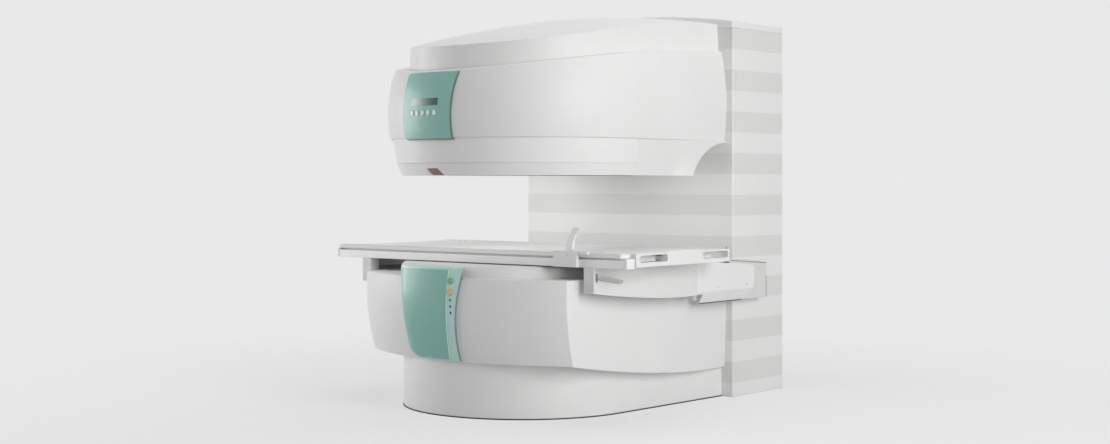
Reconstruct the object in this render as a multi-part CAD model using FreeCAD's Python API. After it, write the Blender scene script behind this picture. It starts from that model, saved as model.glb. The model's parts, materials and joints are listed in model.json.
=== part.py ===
"""Open C-shaped MRI scanner with its patient table.

Frame: millimetres, +Z up, X runs along the patient table, -Y is the front of the machine.
The origin is on the floor, under the centre of the two magnet poles.
"""
import FreeCAD, Part
import math
import os

Vector = FreeCAD.Vector

# ---- Driving dimensions, each written once ----

# Magnet levels
LOWER_POLE_TOP = 738.0
PATIENT_GAP = 441.0
SHOULDER_DROP = 57.0
RIM_FRONT_HEIGHT = 272.0
RIM_REAR_HEIGHT = 160.0
POLE_COVER_HEIGHT = 183.0
BULGE_FRONT_RISE = 318.0
BULGE_REAR_RISE = 481.0
BAND_FRONT_RISE = 133.0
BAND_REAR_RISE = 143.0
ROOF_CROWN = 62.0
COLUMN_SIDE_RISE = 825.0
COLUMN_CROWN = 56.0

# Column
COLUMN_HALF_WIDTH = 724.0
COLUMN_DEPTH = 498.0
COLUMN_FRONT = 856.0
COLUMN_WALL = 12.0
COLUMN_CORNER = 10.0
COLUMN_RETURN = 30.0
CAP_HEIGHT = 37.0

# Lower unit
PLINTH_RADIUS = 626.0
PLINTH_REAR_HALF_WIDTH = 652.0
SEAL_HEIGHT = 8.0
SEAL_STAND_OUT = 3.0
DRUM_CORNER_X = 681.0
DRUM_CORNER_Y = -480.0
DRUM_APEX_Y = -687.0
DRUM_SIDE_BULGE = 722.0
DRUM_REAR_HALF_WIDTH = 682.0
DRUM_WIDEST_HEIGHT = 600.0
DRUM_RIM_SET_BACK = 56.0
DRUM_SIDE_SHARE = 0.12
DRUM_SHOULDER_CHAMFER = 7.0
DRUM_BANDS = 4
RIM_LEVEL_END = -440.0
LOWER_POLE_RADIUS = 640.0
LOWER_POLE_EDGE = 34.0
LOWER_POLE_EDGE_STEPS = 3
LOWER_POLE_RIM = 40.0

# Upper unit
BULGE_RADIUS = 709.0
BULGE_REAR_HALF_WIDTH = 684.0
BULGE_SET_BACK = 34.0
BULGE_WIDEST_SHARE = 0.4
BAND_RADIUS = 600.0
BAND_REAR_HALF_WIDTH = 641.0
BAND_LEAN = 16.0
BAND_EDGE_CHAMFER = 11.0
BULGE_BANDS = 6
HIDDEN_SIDES = 24
POLE_TOP_RADIUS = 683.0
POLE_INNER_RADIUS = 618.0
POLE_GROOVE_RADIUS = 661.0
POLE_FACE_RADIUS = 635.0
POLE_GROOVE_HEIGHT = 58.0
POLE_GROOVE_WIDTH = 4.0
POLE_GROOVE_DEPTH = 5.0
FAIRING_TOP_HALF_WIDTH = 671.0
FAIRING_BOTTOM_HALF_WIDTH = 630.0
FAIRING_FRONT = 60.0
FAIRING_FLAT_END = 550.0
FAIRING_EDGE_CHAMFER = 5.0
FAIRING_SWEEP_Y = 640.0
FAIRING_SWEEP_RISE = 105.0
FAIRING_HOLLOW_Y = 592.0
FAIRING_HOLLOW_RISE = 85.0
BULGE_LEDGE = 24.0

# Covers in general
COVER_WALL = 8.0
SEAM = 0.5

# Magnet inside
YOKE_RADIUS = 560.0
YOKE_PLATE = 270.0
YOKE_HALF_WIDTH = 430.0
YOKE_POST_FRONT = 900.0
YOKE_POST_DEPTH = 390.0
YOKE_CLEARANCE = 20.0
MAGNET_RADIUS = 500.0
MAGNET_HEIGHT = 110.0
POLE_PIECE_RADIUS = 530.0
POLE_PIECE_HEIGHT = 60.0
GRADIENT_COIL_RADIUS = 480.0
GRADIENT_COIL_HEIGHT = 26.0
RF_COIL_RADIUS = 520.0
RF_COIL_HEIGHT = 12.0
COIL_CLEARANCE = 2.0
YOKE_BOLT_RADIUS = 27.0
YOKE_BOLT_HEIGHT = 22.0
YOKE_BOLT_PITCH = 240.0
PEDESTAL_SIZE = 110.0
PEDESTAL_SPREAD = 340.0
REAR_PEDESTAL_SPREAD = 330.0
PAD_SIZE = 180.0
PAD_HEIGHT = 25.0
ANCHOR_SPREAD = 395.0
ANCHOR_RADIUS = 9.0

# Upper control panel
UPPER_PANEL_STAND_OUT = 7.0
UPPER_PANEL_LEFT = -166.0
UPPER_PANEL_RIGHT = 122.0
UPPER_PANEL_FLARE = 30.0
UPPER_PANEL_TOP_MARGIN = 6.0
DISPLAY_LEFT = -124.0
DISPLAY_RIGHT = 52.0
DISPLAY_BOTTOM = 339.0
DISPLAY_HEIGHT = 36.0
KEY_COUNT = 5
KEY_FIRST_X = -114.0
KEY_PITCH = 38.5
KEY_RISE = 304.0
KEY_HALF_WIDTH = 10.0
KEY_HALF_HEIGHT = 13.0
SMALL_ROUND_SIDES = 16
KEY_STAND_OUT = 4.0
KEY_TRAVEL = 2.5
KEY_CLEARANCE = 0.8
LASER_CENTRE_X = -24.0
LASER_WIDTH = 80.0
LASER_SLANT = 32.0
LASER_THICKNESS = 6.0

# Lower control panel
LOWER_PANEL_STAND_OUT = 12.0
LOWER_PANEL_LEFT = -205.0
LOWER_PANEL_RIGHT = 150.0
LOWER_PANEL_FLARE = 44.0
LOWER_PANEL_TUCK = 62.0
LOWER_PANEL_TOP_DROP = 8.0
LOWER_PANEL_BOTTOM_RISE = 12.0
INSERT_RIGHT = 96.0
INSERT_STAND_OUT = 4.0
INSERT_DEPTH = 5.0
INSERT_MARGIN = 7.0
BUTTON_X = 126.0
START_HEIGHT = 668.0
STOP_HEIGHT = 615.0
BUTTON_RADIUS = 15.0
BUTTON_STAND_OUT = 4.0
BUTTON_TRAVEL = 3.0
BUTTON_SIDES = 24
BUTTON_CLEARANCE = 1.0
BUTTON_FOOT_CLEARANCE = 3.5
INDICATOR_COUNT = 3
INDICATOR_TOP = 577.0
INDICATOR_PITCH = 31.0
INDICATOR_RADIUS = 7.0
LENS_DEPTH = 3.0

# Patient table
TABLE_CLEARANCE = 5.0
TABLE_HALF_LENGTH = 983.0
TABLE_FRONT = -409.0
TABLE_REAR = 431.0
RAIL_HEIGHT = 46.0
RAIL_WIDTH = 60.0
RAIL_WALL = 6.0
REAR_RAIL_RIGHT = 790.0
RAIL_SLOT = 7.0
RAIL_SLOT_DEPTH = 18.0
END_CAP_LENGTH = 18.0
TABLE_GAP = 1.5
BOARD_THICKNESS = 18.0
BOARD_DISH = 5.0
BOARD_OVERHANG = 7.0
BOARD_CORNER = 30.0
STRIP_HEIGHT = 5.0
STRIP_WIDTH = 22.0
STRIP_INSET = 6.0
END_MOULDING_LENGTH = 38.0
END_MOULDING_FRONT = -337.0
END_MOULDING_REAR = 441.0
END_MOULDING_DROP = 3.0
GRIP_LENGTH = 220.0
GRIP_HEIGHT = 34.0
GRIP_CORNER = 12.0
GRIP_ROOM = 32.0
GRIP_ROOM_HEIGHT = 12.0
FRONT_GRIP_CENTRE = -199.0
REAR_GRIP_CENTRE = 312.0
END_PLATE_FRONT = -84.0
END_PLATE_REAR = 186.0
END_PLATE_HEIGHT = 4.0
KNOB_RADIUS = 8.0
KNOB_HEIGHT = 11.0
BEAM_HALF_SPACING = 756.0
BEAM_WIDTH = 60.0
TABLE_TRAVEL_OUT = 600.0
TABLE_TRAVEL_IN = 130.0
CARRIAGE_TRAVEL = 100.0

# Table side covers, arms and guides
LEG_LENGTH = 60.0
LEG_HEIGHT = 121.0
SIDE_COVER_BULGE = 838.0
SIDE_COVER_REAR_X = 827.0
SIDE_COVER_REAR = 380.0
SIDE_COVER_WALL = 26.0
SIDE_COVER_DEPTH = 170.0
SIDE_COVER_LUG_DROP = 25.0
LEVER_SLOT_WIDTH = 12.0
LEVER_SLOT_HEIGHT = 40.0
LEVER_SLOT_DROP = 29.0
LEVER_THICKNESS = 9.0
LEVER_DEPTH = 20.0
LEVER_SHAFT_RADIUS = 4.5
LEVER_REACH = 152.0
LEVER_CLEARANCE = 6.0
LEVER_TILT = 8.5
HOUSING_DEPTH = 34.0
HOUSING_REAR = 905.0
HOUSING_LOW_FRONT = 440.0
HOUSING_TOP_DROP = 6.0
HOUSING_TOP_FALL = 30.0
HOUSING_BOTTOM_DROP = 215.0
HOUSING_BEVEL = 58.0
HOUSING_WALL = 5.0
HOUSING_CORNER = 22.0
GUIDE_FRONT = 729.0
GUIDE_REAR = 1080.0
GUIDE_WIDTH = 66.0
GUIDE_TOP_FALL = 27.0
GUIDE_GAP = 3.0
ARM_WIDTH = 30.0
ARM_CLEARANCE = 14.0
ARM_HEIGHT = 62.0
ARM_TOP_DROP = 43.0
ARM_REAR = 500.0
BAR_WIDTH = 26.0
BAR_HEIGHT = 40.0
BAR_REAR = 960.0
BAR_OVERLAP = 60.0
BEARING_LENGTH = 40.0
BEARING_PITCH = 80.0
BEARING_HEIGHT = 60.0
BEARING_CLEARANCE = 0.5
BRACKET_LENGTH = 50.0
BRACKET_HEIGHT = 40.0
SCREW_RADIUS = 4.0
SCREW_HEIGHT = 1.5
HOUSING_SCREW_INSET = 75.0
HOUSING_SCREW_DROP = 130.0
SIDE_KNOB_RADIUS = 5.0
SIDE_KNOB_PITCH = 12.0
SIDE_KNOB_HEIGHT = 5.0

# Rail clamp
CLAMP_LEFT = 556.0
CLAMP_LENGTH = 144.0
CLAMP_DEPTH = 22.0
CLAMP_RISE = 10.0
CLAMP_GAP = 1.0
CLAMP_TAB_LENGTH = 64.0
CLAMP_TAB_HEIGHT = 14.0
CLAMP_LEVER_LENGTH = 132.0
CLAMP_LEVER_WIDTH = 34.0
CLAMP_LEVER_THICKNESS = 11.0
CLAMP_LEVER_LEAN = 52.0
CLAMP_PIVOT_RADIUS = 5.0
CLAMP_PIN_CLEARANCE = 0.3
CLAMP_SLOT_CLEARANCE = 1.5

# ---- Levels and places worked out from the driving dimensions ----
POLE_FACE = LOWER_POLE_TOP + PATIENT_GAP
SHOULDER = LOWER_POLE_TOP - SHOULDER_DROP
BULGE_BOTTOM = POLE_FACE + POLE_COVER_HEIGHT
BULGE_FRONT_TOP = BULGE_BOTTOM + BULGE_FRONT_RISE
BULGE_REAR_TOP = BULGE_BOTTOM + BULGE_REAR_RISE
BAND_FRONT_TOP = BULGE_FRONT_TOP + BAND_FRONT_RISE
BAND_REAR_TOP = BULGE_REAR_TOP + BAND_REAR_RISE
COLUMN_SIDE_TOP = POLE_FACE + COLUMN_SIDE_RISE
COLUMN_TOP = COLUMN_SIDE_TOP + COLUMN_CROWN
COLUMN_REAR = COLUMN_FRONT + COLUMN_DEPTH
RAIL_BOTTOM = LOWER_POLE_TOP + TABLE_CLEARANCE
RAIL_TOP = RAIL_BOTTOM + RAIL_HEIGHT
BOARD_BOTTOM = RAIL_TOP + TABLE_GAP
BOARD_TOP = BOARD_BOTTOM + BOARD_THICKNESS
LOWER_YOKE_TOP = (LOWER_POLE_TOP - COVER_WALL - COIL_CLEARANCE - RF_COIL_HEIGHT - GRADIENT_COIL_HEIGHT
                  - POLE_PIECE_HEIGHT - MAGNET_HEIGHT)
UPPER_YOKE_BOTTOM = POLE_FACE + LOWER_POLE_TOP - LOWER_YOKE_TOP
LEG_OUTER = BEAM_HALF_SPACING + BEAM_WIDTH / 2
LEG_INNER = BEAM_HALF_SPACING - BEAM_WIDTH / 2
LEG_BOTTOM = RAIL_BOTTOM - LEG_HEIGHT
ARM_INNER = DRUM_SIDE_BULGE + ARM_CLEARANCE
ARM_TOP = RAIL_BOTTOM - ARM_TOP_DROP
ARM_BOTTOM = ARM_TOP - ARM_HEIGHT
GUIDE_OUTER = COLUMN_HALF_WIDTH + GUIDE_WIDTH
GUIDE_BOTTOM = RAIL_BOTTOM - HOUSING_BOTTOM_DROP - GUIDE_GAP
HOUSING_INNER = GUIDE_OUTER + GUIDE_GAP
HOUSING_OUTER = HOUSING_INNER + HOUSING_DEPTH
HOUSING_TOP = RAIL_BOTTOM - HOUSING_TOP_DROP
HOUSING_BOTTOM = RAIL_BOTTOM - HOUSING_BOTTOM_DROP
CLAMP_RIGHT = CLAMP_LEFT + CLAMP_LENGTH
CLAMP_REAR = TABLE_FRONT - CLAMP_GAP
CLAMP_FRONT = CLAMP_REAR - CLAMP_DEPTH
CLAMP_TOP = BOARD_TOP + CLAMP_RISE
BEYOND = 100.0


# ---- Small building helpers ----
def block(x0, x1, y0, y1, z0, z1):
    """Box between two corners."""
    return Part.makeBox(x1 - x0, y1 - y0, z1 - z0, Vector(x0, y0, z0))


def pillar(radius, x, y, z0, z1):
    """Upright cylinder."""
    return Part.makeCylinder(radius, z1 - z0, Vector(x, y, z0))


def line(a, b):
    """Straight edge."""
    return Part.makeLine(Vector(*a), Vector(*b))


def arc(a, b, c):
    """Edge through three points."""
    return Part.Arc(Vector(*a), Vector(*b), Vector(*c)).toShape()


def prism(edges, push):
    """Solid of a closed outline pushed along a vector."""
    return Part.Face(Part.Wire(edges)).extrude(Vector(*push))


def polygon_prism(points, push):
    """Solid of a closed outline of straight edges pushed along a vector."""
    corners = [Vector(*p) for p in points]
    return Part.Face(Part.makePolygon(corners + corners[:1])).extrude(Vector(*push))


def revolved(profile):
    """Full turn about the pole axis of a closed (radius, height) outline of straight edges."""
    corners = [Vector(r, 0, z) for r, z in profile]
    face = Part.Face(Part.makePolygon(corners + corners[:1]))
    return face.revolve(Vector(0, 0, 0), Vector(0, 0, 1), 360)


def many_sided(place, along, half_width, half_height, length, sides):
    """Prism with a regular outline. It starts at a point and runs along a level or upright direction."""
    up = Vector(0, 1, 0) if abs(along.z) > 0.9 else Vector(0, 0, 1)
    across = up.cross(along)
    corners = []
    for i in range(sides):
        angle = 2 * math.pi * (i + 0.5) / sides
        corner = place + across * (half_width * math.cos(angle))
        corners.append(corner + up * (half_height * math.sin(angle)))
    return Part.Face(Part.makePolygon(corners + corners[:1])).extrude(along * length)


def mirrored(shape):
    """The same piece on the other side of the machine."""
    return shape.mirror(Vector(0, 0, 0), Vector(1, 0, 0))


def joined(shapes):
    """One shape of several that touch or overlap."""
    first, rest = shapes[0], shapes[1:]
    return first.fuse(rest).removeSplitter() if rest else first


def group(shapes):
    """Several separate solids in one node."""
    return Part.makeCompound(shapes)


def pair(shape):
    """The right-hand piece and its mirror image in one node."""
    return group([shape, mirrored(shape)])


def parabola(start, middle, end, y):
    """Height at y of the parabola through three (y, z) points."""
    (y0, z0), (y1, z1), (y2, z2) = start, middle, end
    first = z0 * (y - y1) * (y - y2) / ((y0 - y1) * (y0 - y2))
    second = z1 * (y - y0) * (y - y2) / ((y1 - y0) * (y1 - y2))
    third = z2 * (y - y0) * (y - y1) / ((y2 - y0) * (y2 - y1))
    return first + second + third


def rounded(shape, radius, chosen):
    """Fillet on the edges that the test picks."""
    return shape.makeFillet(radius, [e for e in shape.Edges if chosen(e)])


def bevelled(shape, size, chosen):
    """Chamfer on the edges that the test picks."""
    return shape.makeChamfer(size, [e for e in shape.Edges if chosen(e)])


# ---- Outlines of the upper and the lower unit ----
def bulge_top(y):
    """Height of the upper bulge's top edge, which climbs towards the column."""
    middle_y = (COLUMN_FRONT - BULGE_RADIUS) / 2
    middle = BULGE_FRONT_TOP + 0.69 * (BULGE_REAR_TOP - BULGE_FRONT_TOP)
    return parabola((-BULGE_RADIUS, BULGE_FRONT_TOP), (middle_y, middle), (COLUMN_FRONT, BULGE_REAR_TOP), y)


def band_top(y):
    """Height of the crisp edge between the top band and the roof."""
    middle_y = (COLUMN_FRONT - BAND_RADIUS) / 2
    middle = BAND_FRONT_TOP + 0.64 * (BAND_REAR_TOP - BAND_FRONT_TOP)
    return parabola((-BAND_RADIUS, BAND_FRONT_TOP), (middle_y, middle), (COLUMN_FRONT, BAND_REAR_TOP), y)


def nose_wire(radius, rear_half_width, height_at):
    """Closed plan outline: a half round front and sides that run back to the column."""
    def at(x, y):
        return (x, y, height_at(y))
    middle_x = radius - (radius - rear_half_width) / 4
    middle_y = COLUMN_FRONT / 2
    front = arc(at(-radius, 0), at(0, -radius), at(radius, 0))
    right = arc(at(radius, 0), at(middle_x, middle_y), at(rear_half_width, COLUMN_FRONT))
    back = line(at(rear_half_width, COLUMN_FRONT), at(-rear_half_width, COLUMN_FRONT))
    left = arc(at(-rear_half_width, COLUMN_FRONT), at(-middle_x, middle_y), at(-radius, 0))
    return Part.Wire([front, right, back, left])


def bulge_solid(inset, bands=BULGE_BANDS):
    """Barrel of the upper unit in straight bands, taller than needed. Its levels tilt with the top edge."""
    slope = (BULGE_REAR_TOP - BULGE_FRONT_TOP) / (COLUMN_FRONT + BULGE_RADIUS)
    wires = []
    for i in range(bands + 1):
        share = 1.2 * i / bands
        off = (share - BULGE_WIDEST_SHARE) / (1 - BULGE_WIDEST_SHARE)
        set_back = BULGE_SET_BACK * off * off + inset

        def height(y, share=share):
            full = BULGE_FRONT_TOP + slope * (y + BULGE_RADIUS) - BULGE_BOTTOM
            return BULGE_BOTTOM + share * full
        wires.append(nose_wire(BULGE_RADIUS - set_back, BULGE_REAR_HALF_WIDTH - set_back, height))
    return Part.makeLoft(wires, True, True)


def under_curve(height_at, drop, floor, half_width):
    """Everything from the floor level up to a curve of the YZ plane lowered by drop."""
    front_y = -BULGE_RADIUS - BEYOND
    rear_y = COLUMN_FRONT + BEYOND
    middle_y = (front_y + rear_y) / 2
    ends = [(-half_width, y, height_at(y) - drop) for y in (front_y, middle_y, rear_y)]
    top = arc(*ends)
    edges = [top, line(ends[2], (-half_width, rear_y, floor)),
             line((-half_width, rear_y, floor), (-half_width, front_y, floor)),
             line((-half_width, front_y, floor), ends[0])]
    return prism(edges, (2 * half_width, 0, 0))


def upper_bulge_cover():
    """Barrel-shaped cover round the upper magnet, with a ledge at its top and its bottom."""
    reach = BULGE_RADIUS + BEYOND
    outer = bulge_solid(0).common(under_curve(bulge_top, 0, BULGE_BOTTOM, reach))
    inner = bulge_solid(COVER_WALL, BULGE_BANDS // 2)
    inner = inner.common(under_curve(bulge_top, COVER_WALL, BULGE_BOTTOM + COVER_WALL, reach))
    shell = outer.cut(inner)
    lower_hole = slab(POLE_GROOVE_RADIUS, HIDDEN_SIDES, BULGE_BOTTOM - BEYOND, BULGE_BOTTOM + BEYOND / 2)
    upper_hole = band_solid(BULGE_LEDGE, BULGE_FRONT_TOP - BEYOND, BULGE_REAR_TOP + BEYOND)
    rear = block(-YOKE_HALF_WIDTH - YOKE_CLEARANCE, YOKE_HALF_WIDTH + YOKE_CLEARANCE, COLUMN_FRONT - BEYOND,
                 COLUMN_FRONT + BEYOND, BULGE_BOTTOM - BEYOND, BULGE_BOTTOM + BEYOND)
    return shell.cut([lower_hole, upper_hole, rear])


def band_solid(inset, bottom, top):
    """Plan of the top cover between two levels, leaning in a little as it climbs."""
    wires = []
    for height in (bottom, top):
        lean = BAND_LEAN * (height - BULGE_FRONT_TOP) / BAND_FRONT_RISE
        wires.append(nose_wire(BAND_RADIUS - lean / 2 - inset, BAND_REAR_HALF_WIDTH - lean / 2 - inset,
                               lambda y, height=height: height))
    return Part.makeLoft(wires, True, True)


def roof_solid(drop, stations):
    """Everything under the sloping, cross-arched roof, lowered by drop."""
    half = COLUMN_HALF_WIDTH + BEYOND
    sag = ROOF_CROWN * (half / BAND_REAR_HALF_WIDTH) ** 2
    front_ridge = BAND_FRONT_TOP
    middle_ridge = band_top(0) + ROOF_CROWN * (BAND_RADIUS / BAND_REAR_HALF_WIDTH) ** 2
    rear_ridge = BAND_REAR_TOP + ROOF_CROWN
    wires = []
    length = COLUMN_FRONT + BAND_RADIUS + 2 * BEYOND
    for i in range(stations):
        y = -BAND_RADIUS - BEYOND + length * i / (stations - 1)
        ridge = parabola((-BAND_RADIUS, front_ridge), (0, middle_ridge), (COLUMN_FRONT, rear_ridge), y) - drop
        a, b, c = (-half, y, ridge - sag), (0, y, ridge), (half, y, ridge - sag)
        low_a, low_c = (-half, y, BULGE_BOTTOM), (half, y, BULGE_BOTTOM)
        wires.append(Part.Wire([arc(a, b, c), line(c, low_c), line(low_c, low_a), line(low_a, a)]))
    return Part.makeLoft(wires, True, True)


def upper_top_cover():
    """Top band and roof over the upper magnet, one moulded shell that sits on the bulge cover."""
    reach = BULGE_RADIUS + BEYOND
    base = under_curve(bulge_top, -SEAM, BULGE_BOTTOM - BEYOND, reach)
    outer = band_solid(0, BULGE_FRONT_TOP - BEYOND, COLUMN_TOP + BEYOND).common(roof_solid(0, 7)).cut(base)
    outer = bevelled(outer, BAND_EDGE_CHAMFER, is_roof_edge)
    inner = band_solid(COVER_WALL, BULGE_FRONT_TOP - 2 * BEYOND, COLUMN_TOP + BEYOND)
    return outer.cut(inner.common(roof_solid(COVER_WALL, 4)))


def is_roof_edge(edge):
    """True for the edge between band and roof, away from the column face."""
    box = edge.BoundBox
    centre_z = (box.ZMin + box.ZMax) / 2
    centre_y = (box.YMin + box.YMax) / 2
    low = edge.valueAt(edge.FirstParameter)
    return box.YMin < COLUMN_FRONT - 1 and abs(low.z - band_top(low.y)) < BAND_FRONT_RISE / 3 \
        and centre_z > bulge_top(centre_y) + BAND_FRONT_RISE / 2


def pole_envelope(grow):
    """Solid of the upper pole cover's outside without its groove."""
    groove = POLE_FACE + POLE_GROOVE_HEIGHT
    return revolved([(0, BULGE_BOTTOM + BEYOND), (POLE_TOP_RADIUS + grow, BULGE_BOTTOM + BEYOND),
                     (POLE_TOP_RADIUS + grow, BULGE_BOTTOM),
                     (POLE_GROOVE_RADIUS + grow, groove), (POLE_FACE_RADIUS + grow, POLE_FACE),
                     (POLE_FACE_RADIUS + grow, POLE_FACE - BEYOND), (0, POLE_FACE - BEYOND)])


def upper_pole_cover():
    """Round dish under the upper magnet, with its groove, its chamfer and the laser window's recess."""
    groove = POLE_FACE + POLE_GROOVE_HEIGHT
    dish = revolved([(0, POLE_FACE), (POLE_FACE_RADIUS, POLE_FACE), (POLE_GROOVE_RADIUS, groove),
                     (POLE_GROOVE_RADIUS - POLE_GROOVE_DEPTH, groove + POLE_GROOVE_WIDTH / 2),
                     (POLE_GROOVE_RADIUS, groove + POLE_GROOVE_WIDTH), (POLE_TOP_RADIUS, BULGE_BOTTOM),
                     (0, BULGE_BOTTOM)])
    hollow = slab(POLE_INNER_RADIUS, HIDDEN_SIDES, POLE_FACE + COVER_WALL, BULGE_BOTTOM + BEYOND)
    return dish.cut([hollow, laser_prism(0)])


def laser_prism(clearance):
    """Slanted opening for the laser window, through the front of the pole cover's chamfer."""
    left = LASER_CENTRE_X - LASER_WIDTH / 2 + clearance
    right = LASER_CENTRE_X + LASER_WIDTH / 2 - clearance
    top = POLE_FACE + POLE_GROOVE_HEIGHT - 3 * COVER_WALL - clearance
    bottom = POLE_FACE + clearance
    half_slant = LASER_SLANT / 2
    front = -POLE_TOP_RADIUS - BEYOND
    points = [(left - half_slant, front, top), (right - half_slant, front, top),
              (right + half_slant, front, bottom), (left + half_slant, front, bottom)]
    return polygon_prism(points, (0, BEYOND + POLE_TOP_RADIUS - POLE_FACE_RADIUS + 3 * COVER_WALL, 0))


def laser_window():
    """Red-brown window that the positioning laser shines through."""
    groove = POLE_FACE + POLE_GROOVE_HEIGHT
    inset = 1.0
    ring = revolved([(POLE_FACE_RADIUS - inset, POLE_FACE), (POLE_GROOVE_RADIUS - inset, groove),
                     (POLE_GROOVE_RADIUS - inset - LASER_THICKNESS, groove),
                     (POLE_FACE_RADIUS - inset - LASER_THICKNESS, POLE_FACE)])
    return ring.common(laser_prism(0))


def fairing_solid(inset):
    """Side view of the fairing pushed across the machine, between two leaning sides."""
    reach = BULGE_RADIUS
    front, bottom = FAIRING_FRONT, POLE_FACE + inset
    flat_end = (-reach, FAIRING_FLAT_END - inset, bottom)
    if inset:
        top = BULGE_BOTTOM - 2 * inset
        middle = (-reach, FAIRING_HOLLOW_Y, POLE_FACE + FAIRING_HOLLOW_RISE)
        corners = [(-reach, COLUMN_FRONT - 2 * BEYOND, top)]
    else:
        top = BULGE_BOTTOM
        middle = (-reach, FAIRING_SWEEP_Y, POLE_FACE + FAIRING_SWEEP_RISE)
        corners = [(-reach, COLUMN_FRONT, BULGE_BOTTOM - COVER_WALL), (-reach, COLUMN_FRONT, top)]
    corners += [(-reach, front, top), (-reach, front, bottom), flat_end]
    edges = [line(a, b) for a, b in zip(corners, corners[1:])]
    body = prism(edges + [arc(flat_end, middle, corners[0])], (2 * reach, 0, 0))
    wide, narrow = FAIRING_TOP_HALF_WIDTH - inset, FAIRING_BOTTOM_HALF_WIDTH - inset
    sides = [(-narrow, 0, POLE_FACE), (narrow, 0, POLE_FACE),
             (wide, 0, BULGE_BOTTOM), (-wide, 0, BULGE_BOTTOM)]
    return body.common(polygon_prism(sides, (0, COLUMN_FRONT + BEYOND, 0)))


def arm_fairing():
    """Underside of the upper arm between the pole cover and the column, with its concave sweep."""
    outer = bevelled(fairing_solid(0), FAIRING_EDGE_CHAMFER, is_fairing_edge)
    outer = outer.cut(pole_envelope(SEAM))
    return outer.cut(fairing_solid(COVER_WALL).cut(pole_envelope(SEAM + COVER_WALL)))


def is_fairing_edge(edge):
    """True for the long lower edges along the fairing's two sides."""
    box = edge.BoundBox
    off_middle = abs(edge.valueAt(edge.FirstParameter).x) > FAIRING_BOTTOM_HALF_WIDTH - 1
    along = box.XLength < 2 * BEYOND and box.YLength > BEYOND
    return off_middle and along and box.ZMin < BULGE_BOTTOM - 2 * COVER_WALL


def drum_wire(height, inset):
    """Level outline of the lower drum: shallow front arc, crisp corners and gently bowed sides."""
    off = (height - DRUM_WIDEST_HEIGHT) / (DRUM_WIDEST_HEIGHT - RIM_FRONT_HEIGHT)
    front_back = DRUM_RIM_SET_BACK * off * off + inset
    side_in = DRUM_RIM_SET_BACK * off * off * DRUM_SIDE_SHARE + inset
    corner_x = DRUM_CORNER_X - side_in
    corner_y = DRUM_CORNER_Y + front_back
    bulge_x = DRUM_SIDE_BULGE - side_in
    bulge_y = COLUMN_FRONT * 0.35
    rear_x = DRUM_REAR_HALF_WIDTH - side_in
    left = (-corner_x, corner_y, height)
    right = (corner_x, corner_y, height)
    rear_right = (rear_x, COLUMN_FRONT, height)
    rear_left = (-rear_x, COLUMN_FRONT, height)
    return Part.Wire([arc(left, (0, DRUM_APEX_Y + front_back, height), right),
                      arc(right, (bulge_x, bulge_y, height), rear_right),
                      line(rear_right, rear_left),
                      arc(rear_left, (-bulge_x, bulge_y, height), left)])


def drum_solid(inset, top, bands=DRUM_BANDS):
    """Barrel of the lower unit from below its rim up to a level, in straight bands."""
    bottom = RIM_REAR_HEIGHT - BEYOND / 2
    levels = [bottom + (top - bottom) * i / bands for i in range(bands + 1)]
    return Part.makeLoft([drum_wire(level, inset) for level in levels], True, True)


def above_rim(lift):
    """Everything above the rim's curve: level across the front, falling along the sides."""
    reach = BULGE_RADIUS + BEYOND
    front, end = -reach, COLUMN_FRONT + BEYOND
    high = SHOULDER + BEYOND
    fall_end = COLUMN_FRONT - BEYOND
    middle_y = (RIM_LEVEL_END + fall_end) / 2
    middle_z = RIM_REAR_HEIGHT + (RIM_FRONT_HEIGHT - RIM_REAR_HEIGHT) / 4
    a = (-reach, RIM_LEVEL_END, RIM_FRONT_HEIGHT + lift)
    b = (-reach, middle_y, middle_z + lift)
    c = (-reach, fall_end, RIM_REAR_HEIGHT + lift)
    edges = [line((-reach, front, RIM_FRONT_HEIGHT + lift), a), arc(a, b, c),
             line(c, (-reach, end, RIM_REAR_HEIGHT + lift)),
             line((-reach, end, RIM_REAR_HEIGHT + lift), (-reach, end, high)),
             line((-reach, end, high), (-reach, front, high)),
             line((-reach, front, high), (-reach, front, RIM_FRONT_HEIGHT + lift))]
    return prism(edges, (2 * reach, 0, 0))


def lower_drum_cover():
    """Barrel-shaped cover round the lower magnet, with its shoulder deck and its turned-in rim."""
    outer = drum_solid(0, SHOULDER).common(above_rim(0))
    outer = bevelled(outer, DRUM_SHOULDER_CHAMFER, is_shoulder_edge)
    inner = drum_solid(COVER_WALL, SHOULDER - COVER_WALL, 2).common(above_rim(COVER_WALL))
    shell = outer.cut(inner)
    well = slab(LOWER_POLE_RADIUS - 4 * COVER_WALL, HIDDEN_SIDES, SHOULDER - BEYOND, SHOULDER + BEYOND)
    passage = prism(plinth_edges(-SEAM, 0), (0, 0, RIM_FRONT_HEIGHT + BEYOND))
    return shell.cut([well, passage])


def is_shoulder_edge(edge):
    """True for the drum's top edge, away from the column face."""
    box = edge.BoundBox
    return abs(box.ZMin - SHOULDER) < 1 and box.ZLength < 1 and box.YMin < COLUMN_FRONT - 1


def plinth_edges(inset, height):
    """U-shaped plan of the plinth at a level."""
    radius = PLINTH_RADIUS - inset
    rear = PLINTH_REAR_HALF_WIDTH - inset
    back = COLUMN_FRONT + (BEYOND if inset > 0 else 0)
    return [arc((-radius, 0, height), (0, -radius, height), (radius, 0, height)),
            line((radius, 0, height), (rear, back, height)),
            line((rear, back, height), (-rear, back, height)),
            line((-rear, back, height), (-radius, 0, height))]


def plinth_wall(outset, wall, bottom, top):
    """Upright U-shaped wall, open towards the column."""
    outer = prism(plinth_edges(-outset, bottom), (0, 0, top - bottom))
    inner = prism(plinth_edges(wall - outset, bottom), (0, 0, top - bottom))
    return outer.cut(inner)


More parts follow.
